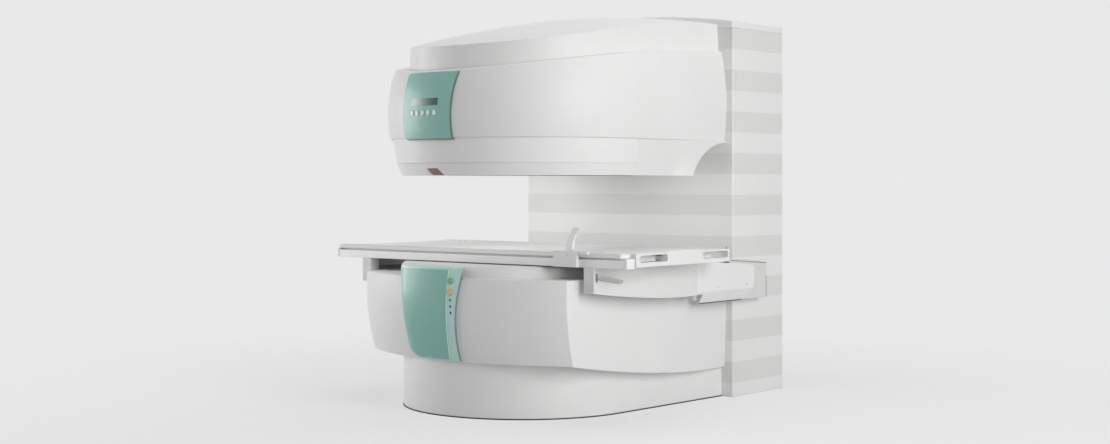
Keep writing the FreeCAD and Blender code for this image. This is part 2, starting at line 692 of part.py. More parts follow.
def plinth_cover():
    """Skirt from the floor seal up to the drum's rim."""
    wall = plinth_wall(0, COVER_WALL, SEAL_HEIGHT, RIM_FRONT_HEIGHT + 3 * COVER_WALL)
    return wall.cut(above_rim(3 * COVER_WALL))


def plinth_seal():
    """Dark strip between the plinth and the floor."""
    return plinth_wall(SEAL_STAND_OUT, COVER_WALL, 0, SEAL_HEIGHT)


def lower_pole_cover():
    """Round dish that closes the lower magnet, with a rounded edge."""
    top, edge, radius = LOWER_POLE_TOP, LOWER_POLE_EDGE, LOWER_POLE_RADIUS
    profile = [(0, top)]
    for i in range(LOWER_POLE_EDGE_STEPS + 1):
        angle = math.pi / 2 * (1 - i / LOWER_POLE_EDGE_STEPS)
        profile.append((radius - edge + edge * math.cos(angle), top - edge + edge * math.sin(angle)))
    dish = revolved(profile + [(radius, SHOULDER), (0, SHOULDER)])
    return dish.cut(slab(radius - LOWER_POLE_RIM, HIDDEN_SIDES, SHOULDER - BEYOND, top - COVER_WALL))


# ---- Column ----
def column_prism(inset, front, rear):
    """Crowned column outline pushed between two depths."""
    half = COLUMN_HALF_WIDTH - inset
    side, crown = COLUMN_SIDE_TOP - inset, COLUMN_TOP - inset
    edges = [line((-half, front, 0), (half, front, 0)), line((half, front, 0), (half, front, side)),
             arc((half, front, side), (0, front, crown), (-half, front, side)),
             line((-half, front, side), (-half, front, 0))]
    return prism(edges, (0, rear - front, 0))


def column_shell():
    """Whole skin of the column before it is divided into panels."""
    outer = column_prism(0, COLUMN_FRONT, COLUMN_REAR)
    outer = rounded(outer, COLUMN_CORNER, lambda e: e.BoundBox.ZLength > COLUMN_SIDE_TOP - 1)
    return outer.cut(column_prism(COLUMN_WALL, COLUMN_FRONT + COLUMN_WALL, COLUMN_REAR - COLUMN_WALL))


def column_panels():
    """Front, rear, side and top panels, cut from one skin at their seams."""
    skin = column_shell()
    half = COLUMN_HALF_WIDTH
    cap_level = COLUMN_SIDE_TOP - CAP_HEIGHT
    front_end = COLUMN_FRONT + COLUMN_RETURN
    rear_start = COLUMN_REAR - COLUMN_RETURN
    reach = half + BEYOND
    arms = [block(-YOKE_HALF_WIDTH - YOKE_CLEARANCE, YOKE_HALF_WIDTH + YOKE_CLEARANCE, COLUMN_FRONT - BEYOND,
                  front_end, low - YOKE_CLEARANCE, low + YOKE_PLATE + YOKE_CLEARANCE)
            for low in (LOWER_YOKE_TOP - YOKE_PLATE, UPPER_YOKE_BOTTOM)]
    front = skin.common(block(-reach, reach, COLUMN_FRONT - 1, front_end, 0, cap_level)).cut(arms)
    rear = skin.common(block(-reach, reach, rear_start, COLUMN_REAR + 1, 0, cap_level))
    right = skin.common(block(half / 2, reach, front_end, rear_start, 0, cap_level))
    cap = skin.common(block(-reach, reach, COLUMN_FRONT - 1, COLUMN_REAR + 1, cap_level, COLUMN_TOP + 1))
    return front, rear, pair(right), cap


# ---- Magnet inside ----
def yoke_plate(bottom):
    """Round steel plate with a neck that runs back to the post."""
    disc = pillar(YOKE_RADIUS, 0, 0, bottom, bottom + YOKE_PLATE)
    neck = block(-YOKE_HALF_WIDTH, YOKE_HALF_WIDTH, 0, YOKE_POST_FRONT, bottom, bottom + YOKE_PLATE)
    return joined([disc, neck])


def yoke_post():
    """Upright steel block behind the gap that closes the magnetic circuit."""
    return block(-YOKE_HALF_WIDTH, YOKE_HALF_WIDTH, YOKE_POST_FRONT, YOKE_POST_FRONT + YOKE_POST_DEPTH,
                 LOWER_YOKE_TOP - YOKE_PLATE, UPPER_YOKE_BOTTOM + YOKE_PLATE)


def yoke_bolts():
    """Heads of the bolts that pull the plates against the post, seen on the post's back."""
    bolts = []
    rear = YOKE_POST_FRONT + YOKE_POST_DEPTH
    for bottom in (LOWER_YOKE_TOP - YOKE_PLATE, UPPER_YOKE_BOTTOM):
        for i in (-1, 0, 1):
            at = Vector(i * YOKE_BOLT_PITCH, rear, bottom + YOKE_PLATE / 2)
            bolts.append(many_sided(at, Vector(0, 1, 0), YOKE_BOLT_RADIUS, YOKE_BOLT_RADIUS,
                                    YOKE_BOLT_HEIGHT, 6))
    return group(bolts)


def disc(radius, face, back):
    """Upright disc between two levels given in either order."""
    return pillar(radius, 0, 0, min(face, back), max(face, back))


def slab(radius, sides, face, back):
    """Upright many-sided slab between two levels given in either order."""
    low, high = min(face, back), max(face, back)
    return many_sided(Vector(0, 0, low), Vector(0, 0, 1), radius, radius, high - low, sides)


def magnet_stack(cover_face, inward):
    """Coils, pole piece and magnet bricks of one pole, from the cover towards the yoke plate."""
    rf_face = cover_face - inward * (COVER_WALL + COIL_CLEARANCE)
    rf_back = rf_face - inward * RF_COIL_HEIGHT
    pole_face = rf_back - inward * GRADIENT_COIL_HEIGHT
    magnet_face = pole_face - inward * POLE_PIECE_HEIGHT
    magnet_back = magnet_face - inward * MAGNET_HEIGHT
    return {
        "rf_coils": slab(RF_COIL_RADIUS, 8, rf_face, rf_back),
        "gradient_coils": slab(GRADIENT_COIL_RADIUS, HIDDEN_SIDES, rf_back, pole_face),
        "pole_pieces": disc(POLE_PIECE_RADIUS, pole_face, magnet_face),
        "magnet_blocks": slab(MAGNET_RADIUS, 12, magnet_face, magnet_back),
    }


def pedestal_places():
    """Plan positions of the six pedestals."""
    front = [(sx * PEDESTAL_SPREAD, sy * PEDESTAL_SPREAD) for sx in (-1, 1) for sy in (-1, 1)]
    rear_y = YOKE_POST_FRONT + YOKE_POST_DEPTH / 2
    return front + [(sx * REAR_PEDESTAL_SPREAD, rear_y) for sx in (-1, 1)]


def pedestals():
    """Square legs between the floor pads and the lower yoke plate."""
    top, half = LOWER_YOKE_TOP - YOKE_PLATE, PEDESTAL_SIZE / 2
    return group([block(x - half, x + half, y - half, y + half, PAD_HEIGHT, top)
                  for x, y in pedestal_places()])


def floor_pads():
    """Square steel pads on the floor. The four round the pole axis have an anchor hole each."""
    pads = []
    anchor_offset = ANCHOR_SPREAD - PEDESTAL_SPREAD
    for x, y in pedestal_places():
        pad = block(x - PAD_SIZE / 2, x + PAD_SIZE / 2, y - PAD_SIZE / 2, y + PAD_SIZE / 2, 0, PAD_HEIGHT)
        if abs(y) <= PEDESTAL_SPREAD:
            hole_x = x + math.copysign(anchor_offset, x)
            hole_y = y + math.copysign(anchor_offset, y)
            pad = pad.cut(pillar(ANCHOR_RADIUS, hole_x, hole_y, -1, PAD_HEIGHT + 1))
        pads.append(pad)
    return group(pads)


# ---- Upper control panel ----
def upper_panel_outline(grow):
    """Front view of the upper panel: bowed left edge, flared right edge."""
    bottom = BULGE_BOTTOM - grow
    top = BULGE_FRONT_TOP + UPPER_PANEL_TOP_MARGIN + grow
    middle = (bottom + top) / 2
    left, right = UPPER_PANEL_LEFT - grow, UPPER_PANEL_RIGHT + grow
    front = -BULGE_RADIUS - BEYOND
    flare = UPPER_PANEL_FLARE
    bow = flare / 3
    edges = [arc((left + flare, front, bottom), (left, front, middle), (left + flare / 2, front, top)),
             line((left + flare / 2, front, top), (right + flare, front, top)),
             arc((right + flare, front, top), (right + bow / 2, front, middle), (right + bow, front, bottom)),
             line((right + bow, front, bottom), (left + flare, front, bottom))]
    return prism(edges, (0, BULGE_RADIUS + BEYOND, 0))


def upper_skin(inner_inset, outer_inset):
    """Layer that follows the upper bulge between two insets from its surface."""
    reach = BULGE_RADIUS + BEYOND
    keep = under_curve(bulge_top, 0, BULGE_BOTTOM, reach)
    return bulge_solid(outer_inset).common(keep).cut(bulge_solid(inner_inset))


def display_outline(grow):
    """Front view of the display window."""
    return block(DISPLAY_LEFT - grow, DISPLAY_RIGHT + grow, -BULGE_RADIUS - BEYOND, 0,
                 POLE_FACE + DISPLAY_BOTTOM - grow, POLE_FACE + DISPLAY_BOTTOM + DISPLAY_HEIGHT + grow)


def key_frame(index):
    """Centre and outward direction of a key on the curved panel."""
    x = KEY_FIRST_X + KEY_PITCH * index
    angle = math.asin(x / BULGE_RADIUS)
    outward = Vector(math.sin(angle), -math.cos(angle), 0)
    surface = BULGE_RADIUS + UPPER_PANEL_STAND_OUT
    return outward * surface + Vector(0, 0, POLE_FACE + KEY_RISE), outward


def key_shape(index, grow, start, end):
    """Oval prism along a key's direction, from start to end, both measured outwards from the panel."""
    centre, outward = key_frame(index)
    return many_sided(centre + outward * start, outward, KEY_HALF_WIDTH + grow, KEY_HALF_HEIGHT + grow,
                      end - start, SMALL_ROUND_SIDES)


def upper_control_panel():
    """Teal panel on the bulge, with openings for the display and the keys."""
    panel = upper_skin(0, -UPPER_PANEL_STAND_OUT).common(upper_panel_outline(0))
    depth = UPPER_PANEL_STAND_OUT + COVER_WALL
    holes = [key_shape(i, KEY_CLEARANCE, -depth, KEY_STAND_OUT) for i in range(KEY_COUNT)]
    return panel.cut([display_outline(0)] + holes)


def display_window():
    """Dark window in the upper panel, a little below its surface."""
    return upper_skin(0, -UPPER_PANEL_STAND_OUT + 1.5).common(display_outline(0))


def key(index):
    """One oval press key. Its foot stays clear of the bulge by its travel."""
    foot = -UPPER_PANEL_STAND_OUT + KEY_TRAVEL + KEY_CLEARANCE
    return key_shape(index, 0, foot, KEY_STAND_OUT)


# ---- Lower control panel ----
def lower_panel_edges(left, right, grow):
    """Front view of a panel on the drum: left edge tucks in low down, right edge flares at the top."""
    bottom = RIM_FRONT_HEIGHT + LOWER_PANEL_BOTTOM_RISE - grow
    top = LOWER_POLE_TOP - LOWER_PANEL_TOP_DROP + grow
    middle = (bottom + top) / 2
    front = DRUM_APEX_Y - BEYOND
    tuck, flare = LOWER_PANEL_TUCK, LOWER_PANEL_FLARE
    left_edge = arc((left - grow + tuck, front, bottom), (left - grow + tuck / 8, front, middle),
                    (left - grow, front, top))
    right_edge = arc((right + grow + flare, front, top), (right + grow, front, middle),
                     (right + grow + flare / 3, front, bottom))
    edges = [left_edge, line((left - grow, front, top), (right + grow + flare, front, top)), right_edge,
             line((right + grow + flare / 3, front, bottom), (left - grow + tuck, front, bottom))]
    return prism(edges, (0, -DRUM_APEX_Y + BEYOND, 0))


def panel_drum(inset):
    """Drum form carried on upwards past the shoulder, which the lower panel follows."""
    return drum_solid(inset, LOWER_POLE_TOP)


def lower_control_panel():
    """Teal panel on the drum that reaches over the shoulder to the lower pole cover."""
    outline = lower_panel_edges(LOWER_PANEL_LEFT, LOWER_PANEL_RIGHT, 0)
    body = panel_drum(-LOWER_PANEL_STAND_OUT).common(outline)
    body = body.cut(drum_solid(0, SHOULDER)).cut(pillar(LOWER_POLE_RADIUS + SEAM, 0, 0, 0, POLE_FACE))
    body = body.cut(insert_space(0))
    depth = LOWER_PANEL_STAND_OUT + COVER_WALL
    holes = [button_shape(height, BUTTON_CLEARANCE, -depth, BUTTON_STAND_OUT)
             for height in (START_HEIGHT, STOP_HEIGHT)]
    lenses = [lens_shape(i, 2 * BUTTON_STAND_OUT) for i in range(INDICATOR_COUNT)]
    return body.cut(holes + lenses)


def insert_space(clearance):
    """Recess of the darker insert in the panel's left part."""
    outline = lower_panel_edges(LOWER_PANEL_LEFT + INSERT_MARGIN, INSERT_RIGHT - LOWER_PANEL_FLARE,
                                -clearance)
    low = RIM_FRONT_HEIGHT + LOWER_PANEL_BOTTOM_RISE + INSERT_MARGIN + clearance
    high = LOWER_POLE_TOP - LOWER_PANEL_TOP_DROP - 2 * INSERT_MARGIN - clearance
    outline = outline.common(block(LOWER_PANEL_LEFT, LOWER_PANEL_RIGHT, DRUM_APEX_Y - BEYOND, 0, low, high))
    skin = panel_drum(-LOWER_PANEL_STAND_OUT - BEYOND / 4)
    return skin.cut(panel_drum(INSERT_DEPTH - LOWER_PANEL_STAND_OUT)).common(outline)


def lower_panel_insert():
    """Darker insert that fills the recess and stands a little proud of the panel."""
    return insert_space(SEAM).common(panel_drum(-LOWER_PANEL_STAND_OUT - INSERT_STAND_OUT))


def drum_front_y(height):
    """Y of the drum's front face beside the buttons, without the panel."""
    off = (height - DRUM_WIDEST_HEIGHT) / (DRUM_WIDEST_HEIGHT - RIM_FRONT_HEIGHT)
    rise = DRUM_CORNER_Y - DRUM_APEX_Y
    radius = (DRUM_CORNER_X ** 2 + rise ** 2) / (2 * rise)
    bow = radius - math.sqrt(radius ** 2 - BUTTON_X ** 2)
    return DRUM_APEX_Y + bow + DRUM_RIM_SET_BACK * off * off


def button_shape(height, grow, start, end):
    """Many-sided prism on the panel's right strip, from start to end, measured outwards from the panel."""
    surface = drum_front_y(height) - LOWER_PANEL_STAND_OUT
    at = Vector(BUTTON_X, surface - start, height)
    radius = BUTTON_RADIUS + grow
    return many_sided(at, Vector(0, -1, 0), radius, radius, end - start, BUTTON_SIDES)


def lens_shape(index, length):
    """Prism of one indicator lens, sunk a little into the panel."""
    height = INDICATOR_TOP - index * INDICATOR_PITCH
    at = Vector(BUTTON_X, drum_front_y(height) - LOWER_PANEL_STAND_OUT + LENS_DEPTH, height)
    return many_sided(at, Vector(0, -1, 0), INDICATOR_RADIUS, INDICATOR_RADIUS, length, SMALL_ROUND_SIDES)


def push_button(height):
    """One round push button with a softened edge."""
    foot = -LOWER_PANEL_STAND_OUT + BUTTON_TRAVEL + BUTTON_FOOT_CLEARANCE
    body = button_shape(height, 0, foot, BUTTON_STAND_OUT)
    front = drum_front_y(height) - LOWER_PANEL_STAND_OUT - BUTTON_STAND_OUT
    return bevelled(body, 1.5, lambda e: abs(e.BoundBox.YMax - front) < 0.1)


def indicators():
    """Three small lenses under the stop button."""
    return group([lens_shape(i, LENS_DEPTH + 1) for i in range(INDICATOR_COUNT)])


# ---- Patient table: top ----
def board_profile(x):
    """Section of the tabletop board, dished along its middle."""
    front, rear = TABLE_FRONT, TABLE_REAR
    flat = STRIP_INSET + STRIP_WIDTH + STRIP_INSET
    middle = (front + rear) / 2
    return [line((x, front, BOARD_BOTTOM), (x, front, BOARD_TOP)),
            line((x, front, BOARD_TOP), (x, front + flat, BOARD_TOP)),
            arc((x, front + flat, BOARD_TOP), (x, middle, BOARD_TOP - BOARD_DISH),
                (x, rear - flat, BOARD_TOP)),
            line((x, rear - flat, BOARD_TOP), (x, rear, BOARD_TOP)),
            line((x, rear, BOARD_TOP), (x, rear, BOARD_BOTTOM)),
            line((x, rear, BOARD_BOTTOM), (x, front, BOARD_BOTTOM))]


def tabletop_board():
    """Long dished board that the patient lies on."""
    left = -TABLE_HALF_LENGTH - BOARD_OVERHANG
    right = TABLE_HALF_LENGTH - END_MOULDING_LENGTH
    board = prism(board_profile(left), (right - left, 0, 0))
    board = board.cut([grip_room(FRONT_GRIP_CENTRE), grip_room(REAR_GRIP_CENTRE)])
    return rounded(board, BOARD_CORNER, lambda e: is_upright(e) and e.BoundBox.XMax < left + 1)


def is_upright(edge):
    """True for a vertical straight edge."""
    box = edge.BoundBox
    return box.XLength < 0.01 and box.YLength < 0.01 and box.ZLength > 1


def rail_strip(y):
    """Accessory rail along one long edge of the board."""
    left = -TABLE_HALF_LENGTH + BOARD_CORNER
    strip = block(left, TABLE_HALF_LENGTH - END_MOULDING_LENGTH, y, y + STRIP_WIDTH, BOARD_TOP,
                  BOARD_TOP + STRIP_HEIGHT)
    return bevelled(strip, 1.5, lambda e: e.BoundBox.ZMin > BOARD_TOP + STRIP_HEIGHT - 0.1)


def grip_hole(centre_y):
    """Rounded finger opening through the end moulding."""
    left = TABLE_HALF_LENGTH - END_MOULDING_LENGTH
    top = BOARD_TOP - BOARD_THICKNESS / 3
    hole = block(left - 1, TABLE_HALF_LENGTH + 1, centre_y - GRIP_LENGTH / 2, centre_y + GRIP_LENGTH / 2,
                 top - GRIP_HEIGHT, top)
    return rounded(hole, GRIP_CORNER, lambda e: e.BoundBox.XLength > END_MOULDING_LENGTH)


def grip_room(centre_y):
    """Pocket under the board's end that leaves room for the fingers behind a grip."""
    right = TABLE_HALF_LENGTH - END_MOULDING_LENGTH
    return block(right - GRIP_ROOM, right + 1, centre_y - GRIP_LENGTH / 2, centre_y + GRIP_LENGTH / 2,
                 BOARD_BOTTOM - 1, BOARD_BOTTOM + GRIP_ROOM_HEIGHT)


def end_moulding():
    """Moulded right end of the tabletop with its two hand grips."""
    left = TABLE_HALF_LENGTH - END_MOULDING_LENGTH
    body = block(left, TABLE_HALF_LENGTH, END_MOULDING_FRONT, END_MOULDING_REAR,
                 RAIL_BOTTOM + TABLE_CLEARANCE, BOARD_TOP + END_MOULDING_DROP)
    body = rounded(body, 8.0, lambda e: is_upright(e) and e.BoundBox.XMin > TABLE_HALF_LENGTH - 1)
    return body.cut([grip_hole(FRONT_GRIP_CENTRE), grip_hole(REAR_GRIP_CENTRE)])


def end_plate():
    """Flat plate between the two grips."""
    level = BOARD_TOP + END_MOULDING_DROP
    left = TABLE_HALF_LENGTH - END_MOULDING_LENGTH
    plate = block(left, TABLE_HALF_LENGTH, END_PLATE_FRONT, END_PLATE_REAR, level, level + END_PLATE_HEIGHT)
    return bevelled(plate, 2.0, lambda e: e.BoundBox.ZMin > level + END_PLATE_HEIGHT - 0.1)


def end_knob():
    """Small knob on the rear corner of the end moulding."""
    level = BOARD_TOP + END_MOULDING_DROP
    x = TABLE_HALF_LENGTH - KNOB_RADIUS - 2
    y = END_MOULDING_REAR - KNOB_RADIUS - 6
    knob = slab(KNOB_RADIUS, SMALL_ROUND_SIDES, level, level + KNOB_HEIGHT).translated(Vector(x, y, 0))
    return bevelled(knob, 2.0, lambda e: e.BoundBox.ZMin > level + KNOB_HEIGHT - 0.1)


# ---- Patient table: carriage ----
def rail(front, right, slotted):
    """Hollow rail between its end caps. The front one has a slot at its top for the clamp."""
    left, right = -TABLE_HALF_LENGTH + END_CAP_LENGTH, right - END_CAP_LENGTH
    body = block(left, right, front, front + RAIL_WIDTH, RAIL_BOTTOM, RAIL_TOP)
    bore = block(left, right, front + RAIL_WALL, front + RAIL_WIDTH - RAIL_WALL,
                 RAIL_BOTTOM + RAIL_WALL, RAIL_TOP - RAIL_SLOT - 2 * RAIL_WALL)
    if not slotted:
        return body.cut(bore)
    slot = block(left, right, front, front + RAIL_SLOT_DEPTH, RAIL_TOP - RAIL_SLOT, RAIL_TOP)
    return body.cut([bore, slot])


def rail_end_caps():
    """Pale caps on the ends of the rails."""
    caps = []
    for front, right in ((TABLE_FRONT, TABLE_HALF_LENGTH), (TABLE_REAR - RAIL_WIDTH, REAR_RAIL_RIGHT)):
        for left in (-TABLE_HALF_LENGTH, right - END_CAP_LENGTH):
            cap = block(left, left + END_CAP_LENGTH, front, front + RAIL_WIDTH, RAIL_BOTTOM, RAIL_TOP)
            caps.append(bevelled(cap, 2.0, is_upright))
    return caps


def cross_beam(x):
    """Beam across the table between the rails."""
    return block(x - BEAM_WIDTH / 2, x + BEAM_WIDTH / 2, TABLE_FRONT + RAIL_WIDTH, TABLE_REAR - RAIL_WIDTH,
                 RAIL_BOTTOM, RAIL_TOP)


def side_plan(inset, front, rear, height):
    """Plan outline of the right side cover between its bowed outer face and a parallel inner one."""
    outer = [(LEG_OUTER - inset, front, height), (SIDE_COVER_BULGE - inset, 0, height),
             (SIDE_COVER_REAR_X - inset, rear, height)]
    wall = SIDE_COVER_WALL - 2 * inset
    inner = [(x - wall, y, z) for x, y, z in outer]
    return [arc(*outer), line(outer[2], inner[2]), arc(inner[2], inner[1], inner[0]),
            line(inner[0], outer[0])]


def side_cover():
    """Moulded cover of the right side: the leg at its front, then a bowed wall with a curved lower edge."""
    low = RAIL_BOTTOM - SIDE_COVER_DEPTH - BEYOND
    wall = prism(side_plan(0, TABLE_FRONT, SIDE_COVER_REAR, low), (0, 0, RAIL_BOTTOM - low))
    leg = block(LEG_INNER, LEG_OUTER, TABLE_FRONT, TABLE_FRONT + LEG_LENGTH, low, RAIL_BOTTOM)
    body = joined([wall, leg])
    deep = RAIL_BOTTOM - SIDE_COVER_DEPTH
    middle_y = (TABLE_FRONT + SIDE_COVER_REAR) / 2
    middle_z = deep + (LEG_BOTTOM - deep) / 5
    a, b, c = (0, TABLE_FRONT, LEG_BOTTOM), (0, middle_y, middle_z), (0, SIDE_COVER_REAR, deep)
    floor = low - 1
    under = [arc(a, b, c), line(c, (0, SIDE_COVER_REAR, floor)),
             line((0, SIDE_COVER_REAR, floor), (0, TABLE_FRONT, floor)), line((0, TABLE_FRONT, floor), a)]
    body = body.cut(prism(under, (2 * COLUMN_HALF_WIDTH, 0, 0)))
    lug = block(SIDE_COVER_REAR_X - SIDE_COVER_WALL + 2, SIDE_COVER_REAR_X - 2, SIDE_COVER_REAR - 20,
                SIDE_COVER_REAR, deep - SIDE_COVER_LUG_DROP, deep + 10)
    return joined([body, lug])


def lever_slot():
    """Upright slot behind the leg that the release lever comes out of."""
    top = RAIL_BOTTOM - LEVER_SLOT_DROP
    front = TABLE_FRONT + LEVER_SLOT_WIDTH
    return block(LEG_OUTER - LEG_LENGTH / 2, SIDE_COVER_BULGE, front, front + LEVER_SLOT_WIDTH,
                 top - LEVER_SLOT_HEIGHT, top)


def lever_pivot():
    """Inner end of the shaft that the release lever turns about, inside its slot."""
    return (LEG_OUTER - LEVER_DEPTH, TABLE_FRONT + 1.5 * LEVER_SLOT_WIDTH,
            RAIL_BOTTOM - LEVER_SLOT_DROP - LEVER_SLOT_HEIGHT / 2)


def side_cover_x(y):
    """X of the side cover's bowed outer face."""
    return parabola((TABLE_FRONT, LEG_OUTER), (0, SIDE_COVER_BULGE), (SIDE_COVER_REAR, SIDE_COVER_REAR_X), y)


def release_lever():
    """Grey curved lever: a shaft in the slot and a blade that sweeps back and down along the cover."""
    x0, y0, z0 = lever_pivot()
    half = LEVER_THICKNESS / 2
    start, middle, end = [(side_cover_x(y) + LEVER_CLEARANCE, y, z0 - half)
                          for y in (y0 - half, y0 + LEVER_REACH / 2, y0 + LEVER_REACH)]
    outer = [(x + LEVER_THICKNESS, y, z) for x, y, z in (start, middle, end)]
    edges = [arc(start, middle, end), line(end, outer[2]), arc(*reversed(outer)), line(outer[0], start)]
    blade = prism(edges, (0, 0, LEVER_THICKNESS))
    shaft = Part.makeCylinder(LEVER_SHAFT_RADIUS, outer[0][0] - x0, Vector(x0, y0, z0), Vector(1, 0, 0))
    body = joined([blade, shaft])
    body.rotate(Vector(x0, y0, z0), Vector(1, 0, 0), -LEVER_TILT)
    return body


def housing_profile(inset, x, front):
    """Side view of the rear housing: falling top, slanted lower rear corner."""
    bottom, top = HOUSING_BOTTOM + inset, HOUSING_TOP - inset
    rear = HOUSING_REAR - inset
    rear_top = top - HOUSING_TOP_FALL
    corner = HOUSING_CORNER
    slant = HOUSING_BEVEL
    return [line((x, front, bottom), (x, rear - slant, bottom)),
            line((x, rear - slant, bottom), (x, rear, bottom + slant)),
            line((x, rear, bottom + slant), (x, rear, rear_top - corner)),
            arc((x, rear, rear_top - corner), (x, rear - corner * 0.3, rear_top - corner * 0.3),
                (x, rear - corner, rear_top)),
            arc((x, rear - corner, rear_top), (x, (front + rear) / 2, (top + rear_top) / 2 + 5),
                (x, front, top)),
            line((x, front, top), (x, front, bottom))]


def rear_housing():
    """Cover over the right slide bar: open inwards, bevelled below, open at its low front corner."""
    outer = prism(housing_profile(0, HOUSING_INNER, SIDE_COVER_REAR), (HOUSING_DEPTH, 0, 0))
    inner = prism(housing_profile(HOUSING_WALL, HOUSING_INNER, SIDE_COVER_REAR),
                  (HOUSING_DEPTH - HOUSING_WALL, 0, 0))
    reach = HOUSING_REAR + BEYOND
    front = SIDE_COVER_REAR - BEYOND

    def bevel(inset):
        level = HOUSING_BOTTOM + HOUSING_BEVEL
        x_in, x_out = HOUSING_INNER - inset, HOUSING_OUTER - inset
        below = HOUSING_BOTTOM - BEYOND
        points = [(x_out, front, level), (x_in, front, HOUSING_BOTTOM), (x_in, front, below),
                  (x_out + BEYOND, front, below), (x_out + BEYOND, front, level)]
        return polygon_prism(points, (0, reach - front, 0))
    outer = outer.cut(bevel(0))
    inner = inner.cut(bevel(HOUSING_WALL))
    low_front = block(HOUSING_INNER - 1, HOUSING_OUTER + 1, front, HOUSING_LOW_FRONT, HOUSING_BOTTOM - 1,
                      RAIL_BOTTOM - SIDE_COVER_DEPTH)
    return outer.cut([inner, low_front])


def side_arm():
    """Steel arm inside the side cover, from the leg back to the slide bar."""
    return block(ARM_INNER, ARM_INNER + ARM_WIDTH, TABLE_FRONT + LEG_LENGTH, ARM_REAR, ARM_BOTTOM, ARM_TOP)


def bar_inner():
    """Inner face of the slide bar, centred in the guide box."""
    return COLUMN_HALF_WIDTH + (GUIDE_WIDTH - BAR_WIDTH) / 2 - COVER_WALL


def slide_bar():
    """Bar under the arm that runs into the guide box."""
    x = bar_inner()
    return block(x, x + BAR_WIDTH, ARM_REAR - BAR_OVERLAP, BAR_REAR, ARM_BOTTOM - BAR_HEIGHT, ARM_BOTTOM)


def housing_bracket():
    """Bracket from the arm to the housing's outer wall."""
    level = (ARM_BOTTOM + ARM_TOP - BRACKET_HEIGHT) / 2
    return block(ARM_INNER + ARM_WIDTH, HOUSING_OUTER - HOUSING_WALL, ARM_REAR - BRACKET_LENGTH, ARM_REAR,
                 level, level + BRACKET_HEIGHT)


def guide_profile(inset, x):
    """Side view of the guide box on the column."""
    bottom, top = GUIDE_BOTTOM + inset, RAIL_BOTTOM - inset
    front = GUIDE_FRONT + inset * 0
    rear = GUIDE_REAR - inset
    rear_top = top - GUIDE_TOP_FALL
    return [line((x, front, bottom), (x, rear, bottom)), line((x, rear, bottom), (x, rear, rear_top)),
            arc((x, rear, rear_top), (x, (front + rear) / 2, (top + rear_top) / 2 + 5), (x, front, top)),
            line((x, front, top), (x, front, bottom))]


def guide_box():
    """Hollow box fixed to the column's side, open at its front for the slide bar."""
    outer = prism(guide_profile(0, COLUMN_HALF_WIDTH), (GUIDE_WIDTH, 0, 0))
    inner = prism(guide_profile(COVER_WALL, COLUMN_HALF_WIDTH + COVER_WALL),
                  (GUIDE_WIDTH - 2 * COVER_WALL, 0, 0))
    return outer.cut(inner)


def slide_bearing(y):
    """Bearing block in the guide box with a slot that fits the slide bar."""
    x = bar_inner()
    level = ARM_BOTTOM - BAR_HEIGHT / 2
    body = block(COLUMN_HALF_WIDTH + COVER_WALL, GUIDE_OUTER - COVER_WALL, y, y + BEARING_LENGTH,
                 level - BEARING_HEIGHT / 2, level + BEARING_HEIGHT / 2)
    gap = BEARING_CLEARANCE
    bore = block(x - gap, x + BAR_WIDTH + gap, y - 1, y + BEARING_LENGTH + 1,
                 ARM_BOTTOM - BAR_HEIGHT - gap, ARM_BOTTOM + gap)
    return body.cut(bore)


def housing_screws():
    """Two small screws on the housing's face."""
    screws = []
    for y in (SIDE_COVER_REAR + 2.5 * HOUSING_SCREW_INSET, HOUSING_REAR - HOUSING_SCREW_INSET):
        at = Vector(HOUSING_OUTER, y, HOUSING_TOP - HOUSING_SCREW_DROP)
        screws.append(many_sided(at, Vector(1, 0, 0), SCREW_RADIUS, SCREW_RADIUS, SCREW_HEIGHT, 12))
    return screws


def side_knobs():
    """Two small knobs on the lug at the rear of the side cover."""
    lowest = RAIL_BOTTOM - SIDE_COVER_DEPTH - SIDE_COVER_LUG_DROP + SIDE_KNOB_RADIUS + 1
    knobs = []
    for level in (lowest, lowest + SIDE_KNOB_PITCH):
        at = Vector(SIDE_COVER_REAR_X - 2, SIDE_COVER_REAR - 10, level)
        knobs.append(many_sided(at, Vector(1, 0, 0), SIDE_KNOB_RADIUS, SIDE_KNOB_RADIUS,
                                SIDE_KNOB_HEIGHT, 12))
    return knobs


# ---- Rail clamp ----
def clamp_block():
    """Block that slides along the front rail, with a slot that the lever folds down into."""
    body = block(CLAMP_LEFT, CLAMP_RIGHT, CLAMP_FRONT, CLAMP_REAR, RAIL_BOTTOM, CLAMP_TOP)
    body = bevelled(body, 2.5, lambda e: is_upright(e) and e.BoundBox.YMax < CLAMP_FRONT + 1)
    x, _, _ = clamp_pivot()
    slot = block(CLAMP_LEFT - 1, x + CLAMP_LEVER_WIDTH * 0.7,
                 clamp_lever_front() - CLAMP_SLOT_CLEARANCE,
                 clamp_lever_front() + CLAMP_LEVER_THICKNESS + CLAMP_SLOT_CLEARANCE,
                 CLAMP_TOP - CLAMP_LEVER_WIDTH, CLAMP_TOP + 1)
    return body.cut([slot, clamp_pin()])


def clamp_pivot():
    """Centre of the clamp lever's pin."""
    x = CLAMP_LEFT + CLAMP_LENGTH * 0.6
    return (x, (CLAMP_FRONT + CLAMP_REAR) / 2, CLAMP_TOP - CLAMP_LEVER_WIDTH / 2)


def clamp_lever_front():
    """Front face of the clamp lever, centred in the block."""
    return (CLAMP_FRONT + CLAMP_REAR - CLAMP_LEVER_THICKNESS) / 2


def clamp_tongue():
    """Plate on the block's back that runs in the rail's slot."""
    gap = CLAMP_SLOT_CLEARANCE
    return block(CLAMP_LEFT + 10, CLAMP_RIGHT - 10, CLAMP_REAR, TABLE_FRONT + RAIL_SLOT_DEPTH - gap,
                 RAIL_TOP - RAIL_SLOT + gap, RAIL_TOP - gap)


